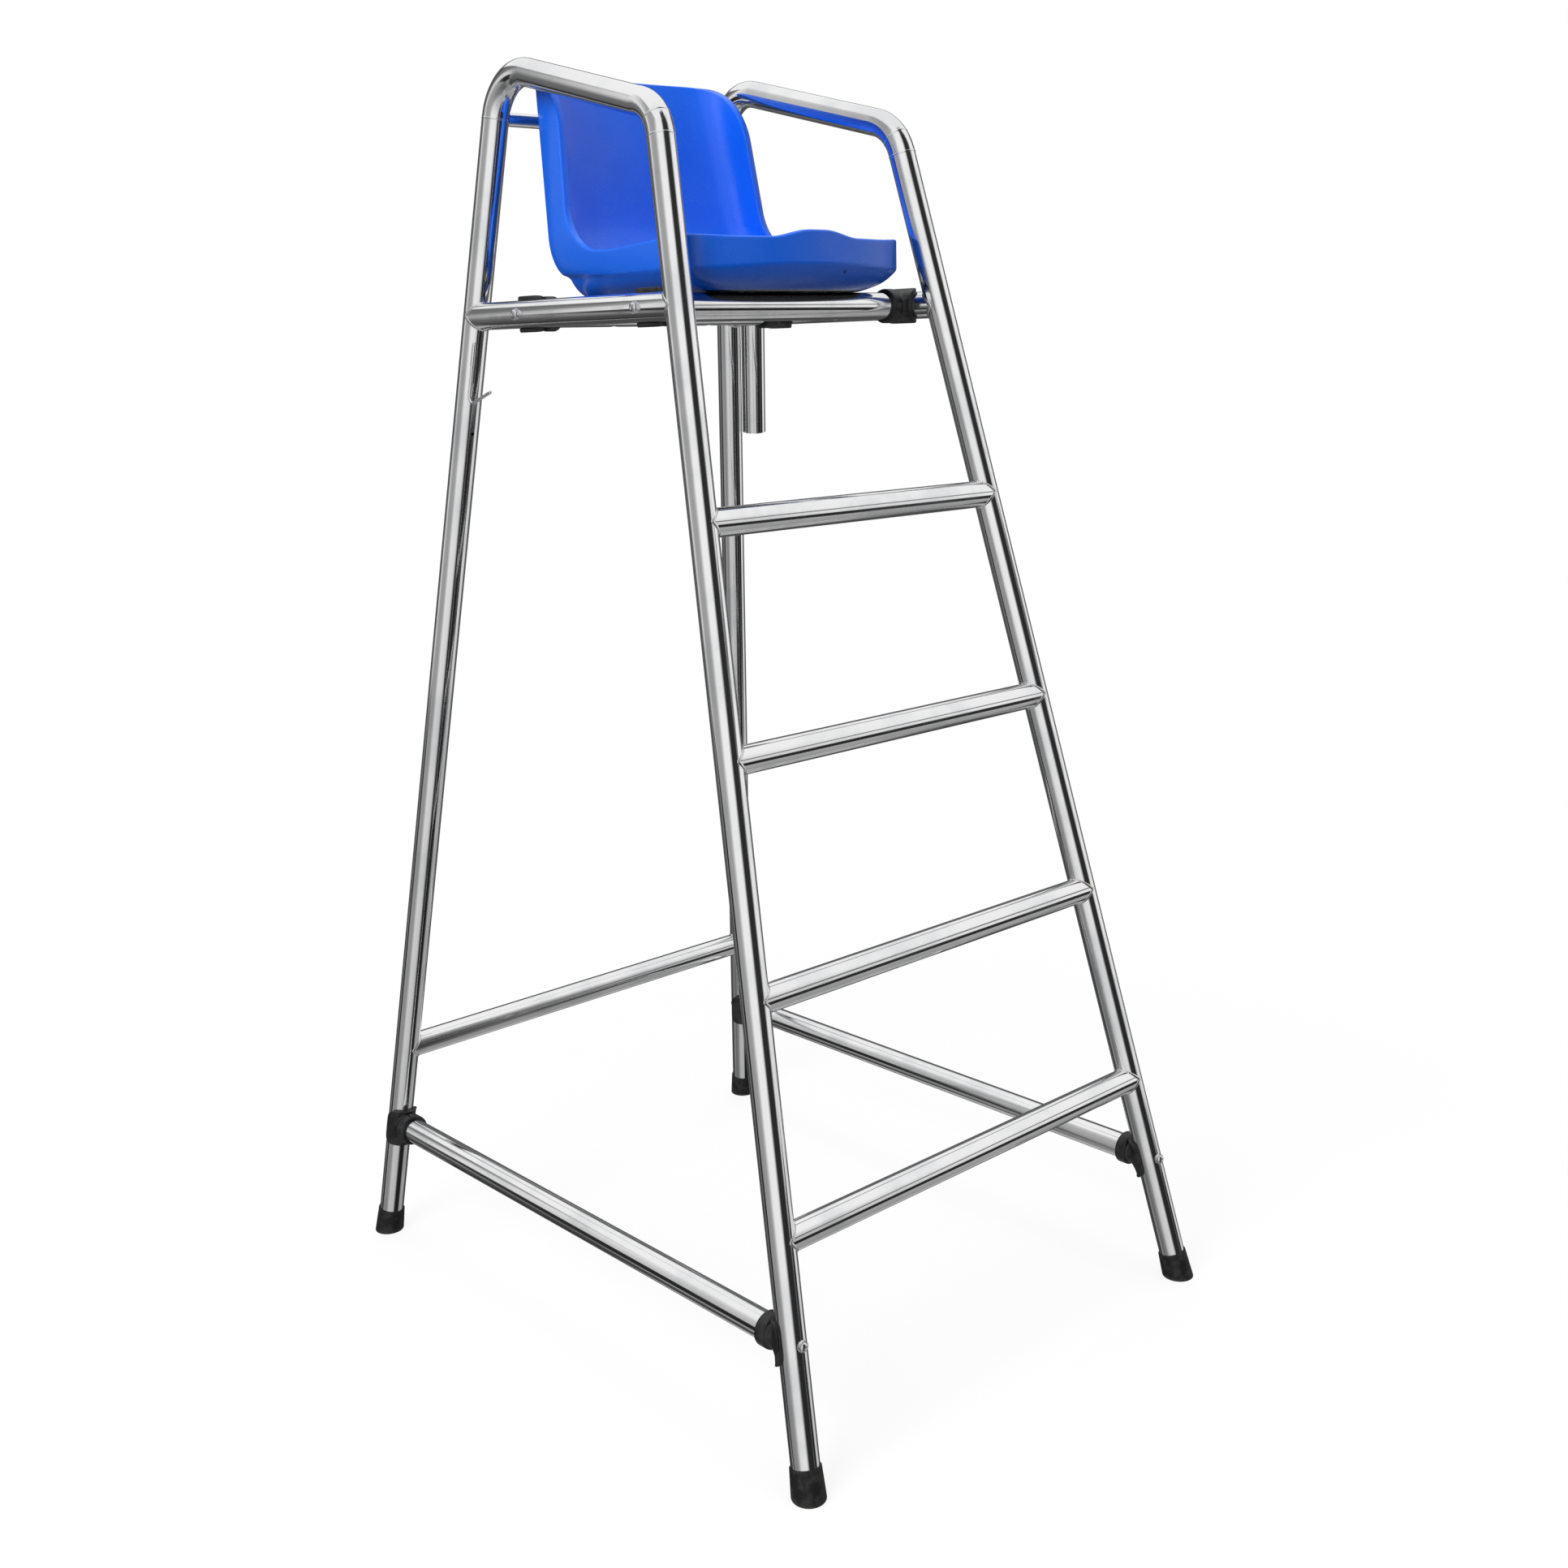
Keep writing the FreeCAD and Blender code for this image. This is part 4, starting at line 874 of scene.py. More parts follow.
@dataclass(frozen=True)
class SaddleConnectors:
    """The eight black connectors: a saddle round one tube, and a neck and cup for another's end."""

    lines: FrameLines
    material: bpy.types.Material
    saddle_length: float = 0.062
    saddle_wall: float = 0.0050
    saddle_angle: float = 90.0
    neck_radius: float = 0.0215
    cup_radius: float = 0.0253
    cup_reach: float = 0.048
    cup_height: float = 0.015
    socket_depth: float = 0.012
    clearance: float = 0.0001
    lip_radius: float = 0.0024
    shoulder: float = 0.0035
    fillet: float = 0.0045
    edge_bead: float = 0.0010
    edge_rounding: float = 0.0012
    flat_edge: float = 0.0015
    web_half_width: float = 0.0085
    web_reach: float = 0.9
    web_straightness: float = 0.55
    web_drop: float = 0.0005
    least_step: float = 0.0004
    boundary_power: float = 5.0
    columns: int = 144
    bead_rows: tuple[tuple[float, float], ...] = ((0.35, 0.0), (0.7, 0.3), (0.86, 0.9), (0.95, 1.0))
    inside_rows: tuple[float, ...] = (0.9, 0.5, 0.15)

    @property
    def skin(self) -> float:
        """The radius of the saddle's outside."""
        return self.lines.tube_radius + self.saddle_wall

    @property
    def cup_foot(self) -> float:
        """Where the neck leaves the cup, as a distance from the host's axis."""
        return self.cup_reach - self.cup_height - self.shoulder

    def cup_profile(self) -> np.ndarray:
        """The cup's section: distances along the held tube, and radii.

        Returns:
            Points from the socket's floor up the bore, over the lip, and down to the neck.
        """
        bore = self.lines.tube_radius + self.clearance
        mouth, lip, wide = self.cup_reach, self.lip_radius, self.cup_radius
        foot = mouth - self.cup_height
        half_way = (wide + self.neck_radius) / 2.0

        def at(distance: float, radius: float) -> np.ndarray:
            """One point of the section."""
            return np.array([distance, radius])

        floor = at(mouth - self.socket_depth, bore)
        shoulder_corner = at(foot - self.shoulder * 0.7, wide)
        shoulder_end = at(foot - self.shoulder * 0.9, half_way)
        parts = [
            floor[None],
            span(floor, at(mouth - lip, bore), 2),
            bend(at(mouth - lip * 0.6, bore), at(mouth, bore), at(mouth, bore + lip * 0.6), 4),
            bend(at(mouth, wide - lip), at(mouth, wide), at(mouth - lip, wide), 6),
            span(at(mouth - lip, wide), at(foot, wide), 4),
            bend(at(foot, wide), shoulder_corner, shoulder_end, 4),
            at(self.cup_foot, self.neck_radius)[None],
        ]
        return np.vstack(parts)

    def edge_at(self, bearing: np.ndarray) -> np.ndarray:
        """How far the sheet's edge is: the superellipse (|cos/a|^n + |sin/b|^n)^(-1/n)."""
        half_round = self.skin * math.radians(self.saddle_angle)
        half_length = self.saddle_length / 2.0
        power = self.boundary_power
        round_part = np.abs(np.cos(bearing) / half_round) ** power
        return (round_part + np.abs(np.sin(bearing) / half_length) ** power) ** (-1.0 / power)

    def patch(self, place: np.ndarray, host: np.ndarray, reach: np.ndarray) -> Patch:
        """One connector as a single closed surface.

        Each column leaves the socket's floor, climbs the cup's bore, goes over its lip, down the
        cup and the neck, flares onto the saddle's sheet, goes over the sheet's edge and closes on
        the tube. The sheet is a rounded rectangle wrapped on a cylinder round the host.

        Args:
            place: Where the two tubes' axes meet.
            host: Unit vector along the tube that the saddle sits on.
            reach: Unit vector along the held tube.

        Returns:
            The connector's patch.
        """
        across = unit(np.cross(host, reach))
        outward = np.cross(across, host)
        second = np.cross(reach, across)
        turn = turns(self.columns)
        spoke = around(turn, across, second)
        skin = self.skin

        def on_neck(depth: np.ndarray | float, radius: float) -> np.ndarray:
            """Points round the held tube's axis."""
            return place + np.multiply.outer(np.broadcast_to(depth, turn.shape), reach) + radius * spoke

        off_middle = np.abs(self.neck_radius * np.cos(turn))
        meet_depth = np.sqrt(skin**2 - np.minimum(off_middle, skin) ** 2) / float(reach @ outward)
        tilt = float(reach @ host)
        meet_along = meet_depth * tilt + self.neck_radius * np.sin(turn) * float(second @ host)
        meet_round = skin * np.arcsin(np.clip(self.neck_radius * np.cos(turn) / skin, -1.0, 1.0))
        bearing = np.arctan2(meet_along, meet_round)

        def on_sheet(distance: np.ndarray, radius: float) -> np.ndarray:
            """Points of the saddle's sheet, a distance along it at each column's bearing."""
            spread = around(distance * np.cos(bearing) / skin, outward, across)
            return place + radius * spread + (distance * np.sin(bearing))[:, None] * host

        edge = self.edge_at(bearing)
        inner = np.hypot(meet_round, meet_along)
        web = 1.0 - smooth_step(off_middle, self.web_half_width * 0.7, self.web_half_width * 1.5)
        climb = self.cup_foot - self.web_drop - meet_depth - self.fillet
        neck_end = meet_depth + self.fillet + web * climb
        neck_end = np.minimum(neck_end, self.cup_foot - self.least_step)
        run = edge - inner - self.fillet
        start = np.minimum(inner + self.fillet + web * self.web_reach * run, edge - self.flat_edge)
        start = np.maximum(start, inner + self.least_step)
        flare_end = on_sheet(start, skin)
        flare_start = on_neck(neck_end, self.neck_radius)
        middle = (flare_start + flare_end) / 2.0
        sharp = on_neck(meet_depth, self.neck_radius)
        corner = middle + (sharp - middle) * (1.0 - self.web_straightness * web)[:, None]

        parts = [on_neck(distance, radius)[None] for distance, radius in self.cup_profile()]
        parts.append(bend(flare_start, corner, flare_end, 12))
        for share, lift in self.bead_rows:
            distance = start + (edge - start) * share
            parts.append(on_sheet(distance, skin + self.edge_bead * lift)[None])
        inside = self.lines.tube_radius + self.clearance / 2.0
        over = on_sheet(edge, skin + self.edge_bead * 0.7)
        beyond = on_sheet(edge + self.edge_rounding, (skin + inside) / 2.0)
        parts.append(bend(over, beyond, on_sheet(edge, inside), 7))
        parts += [on_sheet(edge * share, inside)[None] for share in self.inside_rows]
        return closed_patch(np.vstack(parts))

    def places(self) -> list[tuple[str, np.ndarray, np.ndarray, np.ndarray]]:
        """The node name, place, host direction and reach of each connector."""
        found = []
        for side in Side:
            for end in End:
                tail = f"{end.value}_{side.label}"
                toward = 1.0 if end is End.FRONT else -1.0
                found.append(
                    (
                        "stretcher_connector_" + tail,
                        self.lines.leg_point(side, end, self.lines.stretcher_height),
                        self.lines.leg_direction(side, end),
                        np.array([0.0, toward, 0.0]),
                    )
                )
                found.append(
                    (
                        "seat_connector_" + tail,
                        self.lines.rail_point(side, self.lines.cross_tube_y(end)),
                        np.array([0.0, 1.0, 0.0]),
                        np.array([-float(side.value), 0.0, 0.0]),
                    )
                )
        return found

    def build(self) -> None:
        """Makes the eight connectors, each in place of its node."""
        for node, place, host, reach in self.places():
            patch = self.patch(place, host, reach)
            make_piece(node + "_moulding", patch, self.material, [node])


# Feet


@dataclass(frozen=True)
class RubberFeet:
    """Flared rubber feet, square to the leg at the top and level on the floor."""

    lines: FrameLines
    material: bpy.types.Material
    height: float = 0.043
    top_radius: float = 0.0219
    floor_radius: float = 0.0241
    bore_clearance: float = 0.0001
    bore_depth: float = 0.012
    lip: float = 0.0011
    top_proud: float = 0.0001
    floor_rounding: float = 0.0026
    recess: float = 0.0015
    columns: int = 96

    def patch(self, side: Side, end: End) -> Patch:
        """One foot as a closed surface.

        The wall's lines run from the top ring, square to the leg, down a cone of the same flare to
        where each meets the floor. The rounding and the hollowed sole lie inside that floor ring.

        Args:
            side: Which side the leg is on.
            end: Which end it is at.

        Returns:
            The foot's patch.
        """
        floor = self.lines.leg_point(side, end, 0.0)
        axis = self.lines.leg_direction(side, end)
        spoke = around(turns(self.columns), *cross_axes(axis))

        def ring(height: float, radius: float) -> np.ndarray:
            """A ring square to the leg."""
            return floor + axis * height + spoke * radius

        flare = (self.floor_radius - self.top_radius) / self.height
        top = ring(self.height, self.top_radius)
        slope = -axis + spoke * flare
        to_floor = top + slope * (-top[:, 2] / slope[:, 2])[:, None]
        upward = unit(top - to_floor)
        inward = unit(floor - to_floor)
        bore = self.lines.tube_radius + self.bore_clearance
        wide = self.top_radius + self.top_proud
        rounding = self.floor_rounding
        sole = floor + UP * self.recess
        parts = [
            ring(self.height - self.bore_depth, bore)[None],
            ring(self.height - self.lip, bore)[None],
            bend(
                ring(self.height - self.lip * 0.6, bore),
                ring(self.height + self.lip * 0.2, (bore + self.top_radius) / 2),
                ring(self.height - self.lip * 0.6, wide),
                6,
            ),
            span(ring(self.height - self.lip, wide), to_floor + upward * rounding, 9),
            bend(to_floor + upward * rounding, to_floor, to_floor + inward * rounding, 7),
            (to_floor + inward * rounding * 2.2)[None],
            (to_floor + (sole - to_floor) * 0.3)[None],
            (to_floor + (sole - to_floor) * 0.8)[None],
        ]
        return closed_patch(np.vstack(parts))

    def build(self) -> None:
        """Makes the four feet, each in place of its node."""
        for side in Side:
            for end in End:
                node = f"foot_{end.value}_{side.label}"
                make_piece(node + "_rubber", self.patch(side, end), self.material, [node])


# Bolts and the hook


@dataclass(frozen=True)
class DomeBolt:
    """A low domed bolt with a hexagonal key recess, over the frame's own curved washer."""

    head_radius: float
    head_height: float
    shank_radius: float
    length: float
    key_share: float = 0.36
    key_depth: float = 0.6
    key_edge: float = 0.0001
    neck: float = 0.0004
    dome_rows: int = 14
    columns: int = 48

    def patch(self, head: np.ndarray, inward: np.ndarray) -> Patch:
        """One bolt, from its recess out over the dome and down the shank.

        The dome is the ellipse radius x sin t, height x cos t, and the recess's rings follow the
        hexagon cos 30 / cos(angle to the nearest flat's middle).

        Args:
            head: The middle of the head's underside.
            inward: Unit vector along the shank.

        Returns:
            The bolt's patch.
        """
        angle = turns(self.columns)
        spoke = around(angle, *cross_axes(-inward))
        sector = math.pi / 3.0
        flat = math.cos(sector / 2.0) / np.cos(np.mod(angle, sector) - sector / 2.0)

        def ring(height: float, radius: float, shape: np.ndarray | float = 1.0) -> np.ndarray:
            """A row of one ring over the head's underside, round or hexagonal."""
            reach = np.broadcast_to(shape, angle.shape) * radius
            return (head - inward * height + spoke * reach[:, None])[None]

        key = self.head_radius * self.key_share
        floor = self.head_height * (1.0 - self.key_depth)
        rim = math.asin(self.key_share * 1.12)
        parts = [
            ring(floor, key * 0.5, flat),
            ring(floor, key * 0.97, flat),
            ring(floor + self.key_edge, key, flat),
            ring(self.head_height * math.cos(rim) - self.key_edge, key, flat),
        ]
        for t in np.linspace(rim, math.pi / 2.0, self.dome_rows):
            parts.append(ring(self.head_height * math.cos(t), self.head_radius * math.sin(t)))
        parts += [
            ring(0.0, self.head_radius * 0.97),
            ring(0.0, self.shank_radius * 1.05),
            ring(-self.neck, self.shank_radius),
            ring(-(self.length - self.shank_radius / 3.0), self.shank_radius),
            ring(-self.length, self.shank_radius * 0.66),
        ]
        return closed_patch(np.vstack(parts))


@dataclass(frozen=True)
class Bolts:
    """All the chair's bolts: eight through the connectors, and four up into the seat.

    The seat's bolts have their heads inside the cross tubes, on a washer in the bore.
    """

    lines: FrameLines
    material: bpy.types.Material
    connectors: SaddleConnectors
    through: DomeBolt = DomeBolt(
        head_radius=0.007, head_height=0.0044, shank_radius=0.004, length=0.075
    )
    washer_height: float = 0.003
    seat_head_radius: float = 0.0052
    seat_head_height: float = 0.0033
    seat_shank_radius: float = 0.003
    seat_washer_radius: float = 0.0062
    seat_washer_height: float = 0.0016
    seat_half_spacing: float = 0.095
    seat_grip: float = 0.014
    seat_gap: float = 0.0001

    def connector_bolts(self) -> list[Patch]:
        """The bolts through the connectors, each from behind its host tube."""
        offset = self.lines.tube_radius + self.washer_height
        places = self.connectors.places()
        return [self.through.patch(place - reach * offset, reach) for _, place, _, reach in places]

    def seat_bolts(self) -> list[Patch]:
        """The bolts up into the seat."""
        bore = self.lines.tube_radius - self.lines.tube_wall
        level = math.sqrt(bore**2 - self.seat_washer_radius**2) - self.seat_washer_height
        length = self.lines.tube_radius - level + self.seat_gap + self.seat_grip
        bolt = DomeBolt(self.seat_head_radius, self.seat_head_height, self.seat_shank_radius, length)
        height = self.lines.rail_height + level
        patches = []
        for end in End:
            for side in Side:
                x = side.value * self.seat_half_spacing
                head = np.array([x, self.lines.cross_tube_y(end), height])
                patches.append(bolt.patch(head, UP))
        return patches

    def build(self) -> None:
        """Makes one piece of each kind of bolt, in place of its node."""
        kinds = (("connector", self.connector_bolts()), ("seat", self.seat_bolts()))
        for kind, patches in kinds:
            name = kind + "_dome_bolts"
            make_piece(name, merged(patches), self.material, [kind + "_bolts"])


@dataclass(frozen=True)
class RingHook:
    """The bent rod on the left rear leg that holds a life ring, and its two weld runs."""

    lines: FrameLines
    rod: bpy.types.Material
    weld: bpy.types.Material
    radius: float = 0.0025
    top_height: float = 1.497
    drop: float = 0.076
    bend_radius: float = 0.011
    tip_length: float = 0.044
    tip_angle: float = 28.0
    side_angle: float = 32.0
    gap: float = 0.00005
    drop_steps: int = 24
    bend_steps: int = 28
    tip_steps: int = 20
    dome_start: float = 0.15
    dome_steps: int = 6
    weld_length: float = 0.034
    weld_spread: float = 0.0021
    weld_sink: float = 0.62
    weld_power: float = 6.0
    weld_steps: int = 300
    weld_facing: tuple[float, float, float] = (6.0, 0.006, 0.2)
    weld_half_width: float = 0.0012
    weld_height: float = 0.0011
    columns: int = 24

    def path(self) -> tuple[np.ndarray, np.ndarray, np.ndarray, np.ndarray]:
        """The rod's middle line: a straight drop, an arc and a slanted tip.

        Returns:
            The points, the unit vectors along them, the rod's plane's normal, and the unit vector
            from the leg's axis to the rod.
        """
        leg_up = self.lines.leg_direction(Side.LEFT, End.REAR)
        angle = math.radians(self.side_angle)
        outward = np.array([-math.sin(angle), -math.cos(angle), 0.0])
        outward = unit(outward - leg_up * float(outward @ leg_up))
        off_axis = self.lines.tube_radius + self.radius + self.gap
        start = self.lines.leg_point(Side.LEFT, End.REAR, self.top_height) + outward * off_axis
        forward = unit(FORWARD - leg_up * float(FORWARD @ leg_up))
        rise = math.radians(self.tip_angle)
        turn = np.linspace(0.0, math.pi / 2.0 + rise, self.bend_steps)
        straight = np.linspace(0.0, self.drop, self.drop_steps)[:-1]
        centre = np.array([self.bend_radius, self.drop])
        arc = centre + self.bend_radius * np.stack([-np.cos(turn), np.sin(turn)], axis=1)
        tip_way = np.array([math.cos(rise), -math.sin(rise)])
        tip = arc[-1] + np.linspace(0.0, self.tip_length, self.tip_steps)[1:, None] * tip_way
        flat = np.vstack([np.stack([np.zeros_like(straight), straight], axis=1), arc, tip])
        points = start + flat[:, :1] * forward - flat[:, 1:] * leg_up
        along = unit(np.gradient(points, axis=0))
        return points, along, np.cross(leg_up, forward), outward

    def rod_patch(self) -> Patch:
        """The rod, round in section, with domed ends: the last rows shrink as sqrt(1 - t^2)."""
        points, along, normal, _ = self.path()
        turn = turns(self.columns)
        angle = np.linspace(self.dome_start, math.pi / 2.0, self.dome_steps)
        dome, reach = np.sin(angle), np.cos(angle)
        head = points[0] - along[0] * (self.radius * reach)[:, None]
        tail = points[-1] + along[-1] * (self.radius * reach[::-1])[:, None]
        centres = np.vstack([head, points[1:-1], tail])
        radii = self.radius * np.concatenate([dome, np.ones(len(points) - 2), dome[::-1]])
        first, last = (np.repeat(way[None], self.dome_steps, axis=0) for way in (along[0], along[-1]))
        ways = np.vstack([first, along[1:-1], last])
        second = np.cross(ways, normal)
        rows = centres[:, None, :] + radii[:, None, None] * (
            np.cos(turn)[None, :, None] * normal + np.sin(turn)[None, :, None] * second[:, None, :]
        )
        return closed_patch(rows)

    def weld_patch(self, welds: Welds) -> Patch:
        """The bead round the welded length of rod: a long narrow loop in both crotches.

        The loop is the superellipse of half sides a and b: a |cos t|^(2/n) one way and
        b |sin t|^(2/n) the other, each with its sign.
        """
        leg_up = self.lines.leg_direction(Side.LEFT, End.REAR)
        points, _, _, outward = self.path()
        sideways = np.cross(leg_up, outward)
        turn = turns(self.weld_steps)
        half = self.weld_length / 2.0
        power = 2.0 / self.weld_power
        along = half * np.sign(np.cos(turn)) * np.abs(np.cos(turn)) ** power
        across = self.weld_spread * np.sign(np.sin(turn)) * np.abs(np.sin(turn)) ** power
        middle = points[0] - leg_up * half - outward * self.radius * self.weld_sink
        path = middle + along[:, None] * leg_up + across[:, None] * sideways
        aside, out, up = self.weld_facing
        facing = unit(across[:, None] * sideways * aside + outward * out + along[:, None] * leg_up * up)
        return welds.bead(path, facing, self.weld_half_width, self.weld_height)

    def build(self, welds: Welds) -> None:
        """Makes the rod in place of its node, and its weld."""
        make_piece("life_ring_hook_rod", self.rod_patch(), self.rod, ["life_ring_hook"])
        make_piece("life_ring_hook_weld", self.weld_patch(welds), self.weld)


# The moulded seat


@dataclass(frozen=True)
class SeatMoulding:
    """The blue bucket seat: one closed surface from its pan, over the rim, to its underside.

    Its places are measured from the middle of its flat underside, x to the right, y to the back.
    """

    lines: FrameLines
    material: bpy.types.Material
    vent_material: bpy.types.Material
    seat_gap: float = 0.0001
    half_width: float = 0.209
    rear_half_width: float = 0.198
    front_reach: float = 0.180
    front_bow: float = 0.038
    rear_reach: float = 0.174
    rear_bow: float = 0.016
    hollow_bow: float = 0.004
    outer_power: float = 14.0
    inner_power: float = 8.0
    base_half_width: float = 0.148
    base_rear_half_width: float = 0.140
    base_front: float = 0.156
    base_rear: float = 0.150
    facet_height: float = 0.032
    facet_low: float = 0.0275
    facet_front_rise: float = 0.002
    facet_rear_rise: float = 0.0045
    facet_nose_rise: float = 0.0065
    bowl_cubic: tuple[float, float, float] = (2.17, -1.94, 0.77)
    facet_rear_half_width: float = 0.178
    tail_height: float = 0.095
    rim_width: float = 0.012
    pan_height: float = 0.030
    pan_front_rise: float = 0.012
    pan_rise_start: float = 0.09
    pan_rise_run: float = 0.308
    pan_rise_power: float = 1.4
    pan_fillet: float = 0.050
    pan_rear_fillet: float = 0.090
    back_height: float = 0.331
    top_rear: float = 0.214
    top_half_width: float = 0.180
    top_corner: float = 0.010
    tip_radius: float = 0.105
    wing_foot: float = 0.104
    wing_top: float = 0.142
    wing_sweep: float = 0.076
    wing_rise: float = 0.003
    rim_low: float = 0.065
    rim_low_forward: float = 0.005
    rim_front: float = 0.076
    front_rim_begins: float = 0.067
    front_rim_holds: float = 0.028
    pommel_height: float = 0.082
    channel_height: float = 0.072
    pommel_half_width: float = 0.070
    channel_width: float = 0.075
    corner_beyond: float = 0.028
    rim_rounding: float = 0.0042
    wing_rounding: float = 0.0062
    wing_rounding_run: float = 0.06
    inner_rounding: float = 0.0030
    crease: float = 0.0035
    columns: int = 720
    fine_columns: int = 6000
    even_share: float = 0.25
    wall_rows: int = 22
    wall_rows_power: float = 1.4
    inner_rows: int = 12
    base_shares: tuple[float, ...] = (0.3, 0.6, 0.85, 0.94)
    bowl_shares: tuple[float, ...] = (0.14, 0.24, 0.36, 0.48, 0.6, 0.72, 0.82)
    pan_shares: tuple[float, ...] = (0.85, 0.65, 0.4, 0.15)
    pan_middle: float = 0.01
    search_rows: int = 900
    spread: int = 6
    top_sag: float = 0.0022
    tip_softness: float = 0.004
    vent_height: float = 0.0256
    vent_offset: float = 0.057
    vent_columns: int = 32
    vent_search: int = 400
    vent_profile: tuple[tuple[float, float], ...] = (
        (0.0012, -0.0012),
        (0.0024, -0.0010),
        (0.0026, 0.00005),
        (0.0024, 0.00022),
        (0.0019, 0.0001),
        (0.0010, 0.00002),
    )

    @property
    def origin(self) -> np.ndarray:
        """The middle of the underside."""
        y = (self.lines.cross_tube_y(End.FRONT) + self.lines.cross_tube_y(End.REAR)) / 2.0
        return np.array([0.0, y, self.lines.rail_height + self.lines.tube_radius + self.seat_gap])

    def facet_at(self, bearing: np.ndarray) -> np.ndarray:
        """How high the crease between underside and rim is, which rises to the front and rear."""
        ahead = -np.sin(bearing)
        corner = smooth_step(np.abs(ahead), 0.0, 0.65)
        rise = np.where(ahead > 0.0, self.facet_front_rise, self.facet_rear_rise) * corner
        return self.facet_low + rise + self.facet_nose_rise * smooth_step(ahead, 0.6, 1.0)

    def sizes_at(self, level: np.ndarray) -> tuple[np.ndarray, ...]:
        """The outline's sizes at levels.

        Up the back they change evenly to the top. Between the facet and the tail the rear corners
        follow a quarter ellipse. Under the facet every size follows the bowl of the underside,
        the cubic a t + b t^2 + c t^3 of the share t of the facet's level.

        Args:
            level: Heights over the underside, were the crease level all round.

        Returns:
            Half width in front, half width at the rear, front reach, rear reach, and share of
            the bows.
        """
        t = np.clip(level / self.facet_height, 0.0, 1.0)
        a, b, c = self.bowl_cubic
        bowl = a * t + b * t**2 + c * t**3
        turn = np.clip((level - self.facet_height) / (self.tail_height - self.facet_height), 0.0, 1.0)
        rounding = np.sqrt(1.0 - (1.0 - turn) ** 2)
        rise = np.clip((level - self.tail_height) / (self.back_height - self.tail_height), 0.0, 1.3)
        below = level < self.facet_height

        def size(base: float, facet: float, tail: float, top: float) -> np.ndarray:
            """A size that goes from base to facet, tail and top."""
            upper = facet + (tail - facet) * rounding + (top - tail) * rise
            return np.where(below, base + (facet - base) * bowl, upper)

        top_front = self.half_width * self.top_half_width / self.rear_half_width
        half = size(self.base_half_width, self.half_width, self.half_width, top_front)
        rear_half = size(
            self.base_rear_half_width,
            self.facet_rear_half_width,
            self.rear_half_width,
            self.top_half_width,
        )
        front = size(self.base_front, self.front_reach, self.front_reach, self.front_reach)
        rear = size(self.base_rear, self.base_rear, self.rear_reach, self.top_rear)
        return half, rear_half, front, rear, 0.5 + bowl / 2.0

    def wall(
        self,
        bearing: np.ndarray,
        height: np.ndarray,
        inner: bool = False,
        inset: np.ndarray | float = 0.0,
    ) -> np.ndarray:
        """Points of the outer or the inner wall.

        At each level the outline is the superellipse |x/a|^n + |y/b|^n = 1. Its front and rear
        then bow by bow (1 - (x/a)^2)(y/b)^2, and it narrows evenly towards the rear.

        Args:
            bearing: Angles from +X, turning towards +Y.
            height: Heights over the underside.
            inner: Whether it is the hollow's wall, one rim width inside.
            inset: How much further inside it is.

        Returns:
            Points in the seat's own places.
        """
        height = np.broadcast_to(height, bearing.shape)
        facet = self.facet_at(bearing)
        stretch = (self.tail_height - self.facet_height) / (self.tail_height - facet)
        above = np.where(
            height < self.tail_height, self.facet_height + (height - facet) * stretch, height
        )
        level = np.where(height < facet, height * self.facet_height / facet, above)
        half, rear_half, front, rear, bow_share = self.sizes_at(level)
        if inner:
            inset = inset + self.rim_width
        half, rear_half, front, rear = half - inset, rear_half - inset, front - inset, rear - inset
        power = self.inner_power if inner else self.outer_power
        b = np.where(np.sin(bearing) > 0.0, rear, front)
        radius = (
            np.abs(np.cos(bearing) / half) ** power + np.abs(np.sin(bearing) / b) ** power
        ) ** (-1.0 / power)
        x, y = radius * np.cos(bearing), radius * np.sin(bearing)
        rear_bow = self.rear_bow + (self.hollow_bow if inner else 0.0)
        bow = np.where(y > 0.0, rear_bow, self.front_bow) * bow_share
        middle = np.clip(1.0 - (x / half) ** 2, 0.0, 1.0)
        y = y + np.sign(y) * bow * middle * (y / b) ** 2
        x = x * (1.0 - (1.0 - rear_half / half) * np.clip((y + front) / (front + rear), 0.0, 1.1))
        return np.stack([x, y, height], axis=-1)

    def side_line(self, y: np.ndarray) -> np.ndarray:
        """The rim seen from the side: a shallow dip, then the sweep up the wing's slanted front."""
        ahead = np.maximum(-(y + self.rim_low_forward), 0.0)
        dip = (self.rim_front - self.rim_low) * ahead / (self.front_reach - 2 * self.rim_low_forward)
        behind = smooth_step(y, -self.rim_low_forward, self.wing_foot)
        climb = self.back_height - self.rim_low - self.wing_rise
        run = self.wing_top - self.wing_foot
        angle = math.atan2(climb, run)
        begin = self.wing_foot - self.wing_sweep * math.tan(angle / 2.0)
        finish = begin + self.wing_sweep * math.sin(angle)
        share = np.clip((y - begin) / self.wing_sweep, 0.0, math.sin(angle))
        arc = self.wing_sweep * (1.0 - np.sqrt(1.0 - share**2))
        straight = np.maximum(y - finish, 0.0) * climb / run
        rising = self.rim_low + dip + self.wing_rise * behind + arc + straight
        level = self.wing_top + self.tip_radius * math.tan(angle / 2.0)
        over = np.clip((level - y) / self.tip_radius, 0.0, 1.0)
        tip = self.back_height - self.tip_radius * (1.0 - np.sqrt(1.0 - over**2))
        return np.where(y > level - self.tip_radius * math.sin(angle), tip, rising)

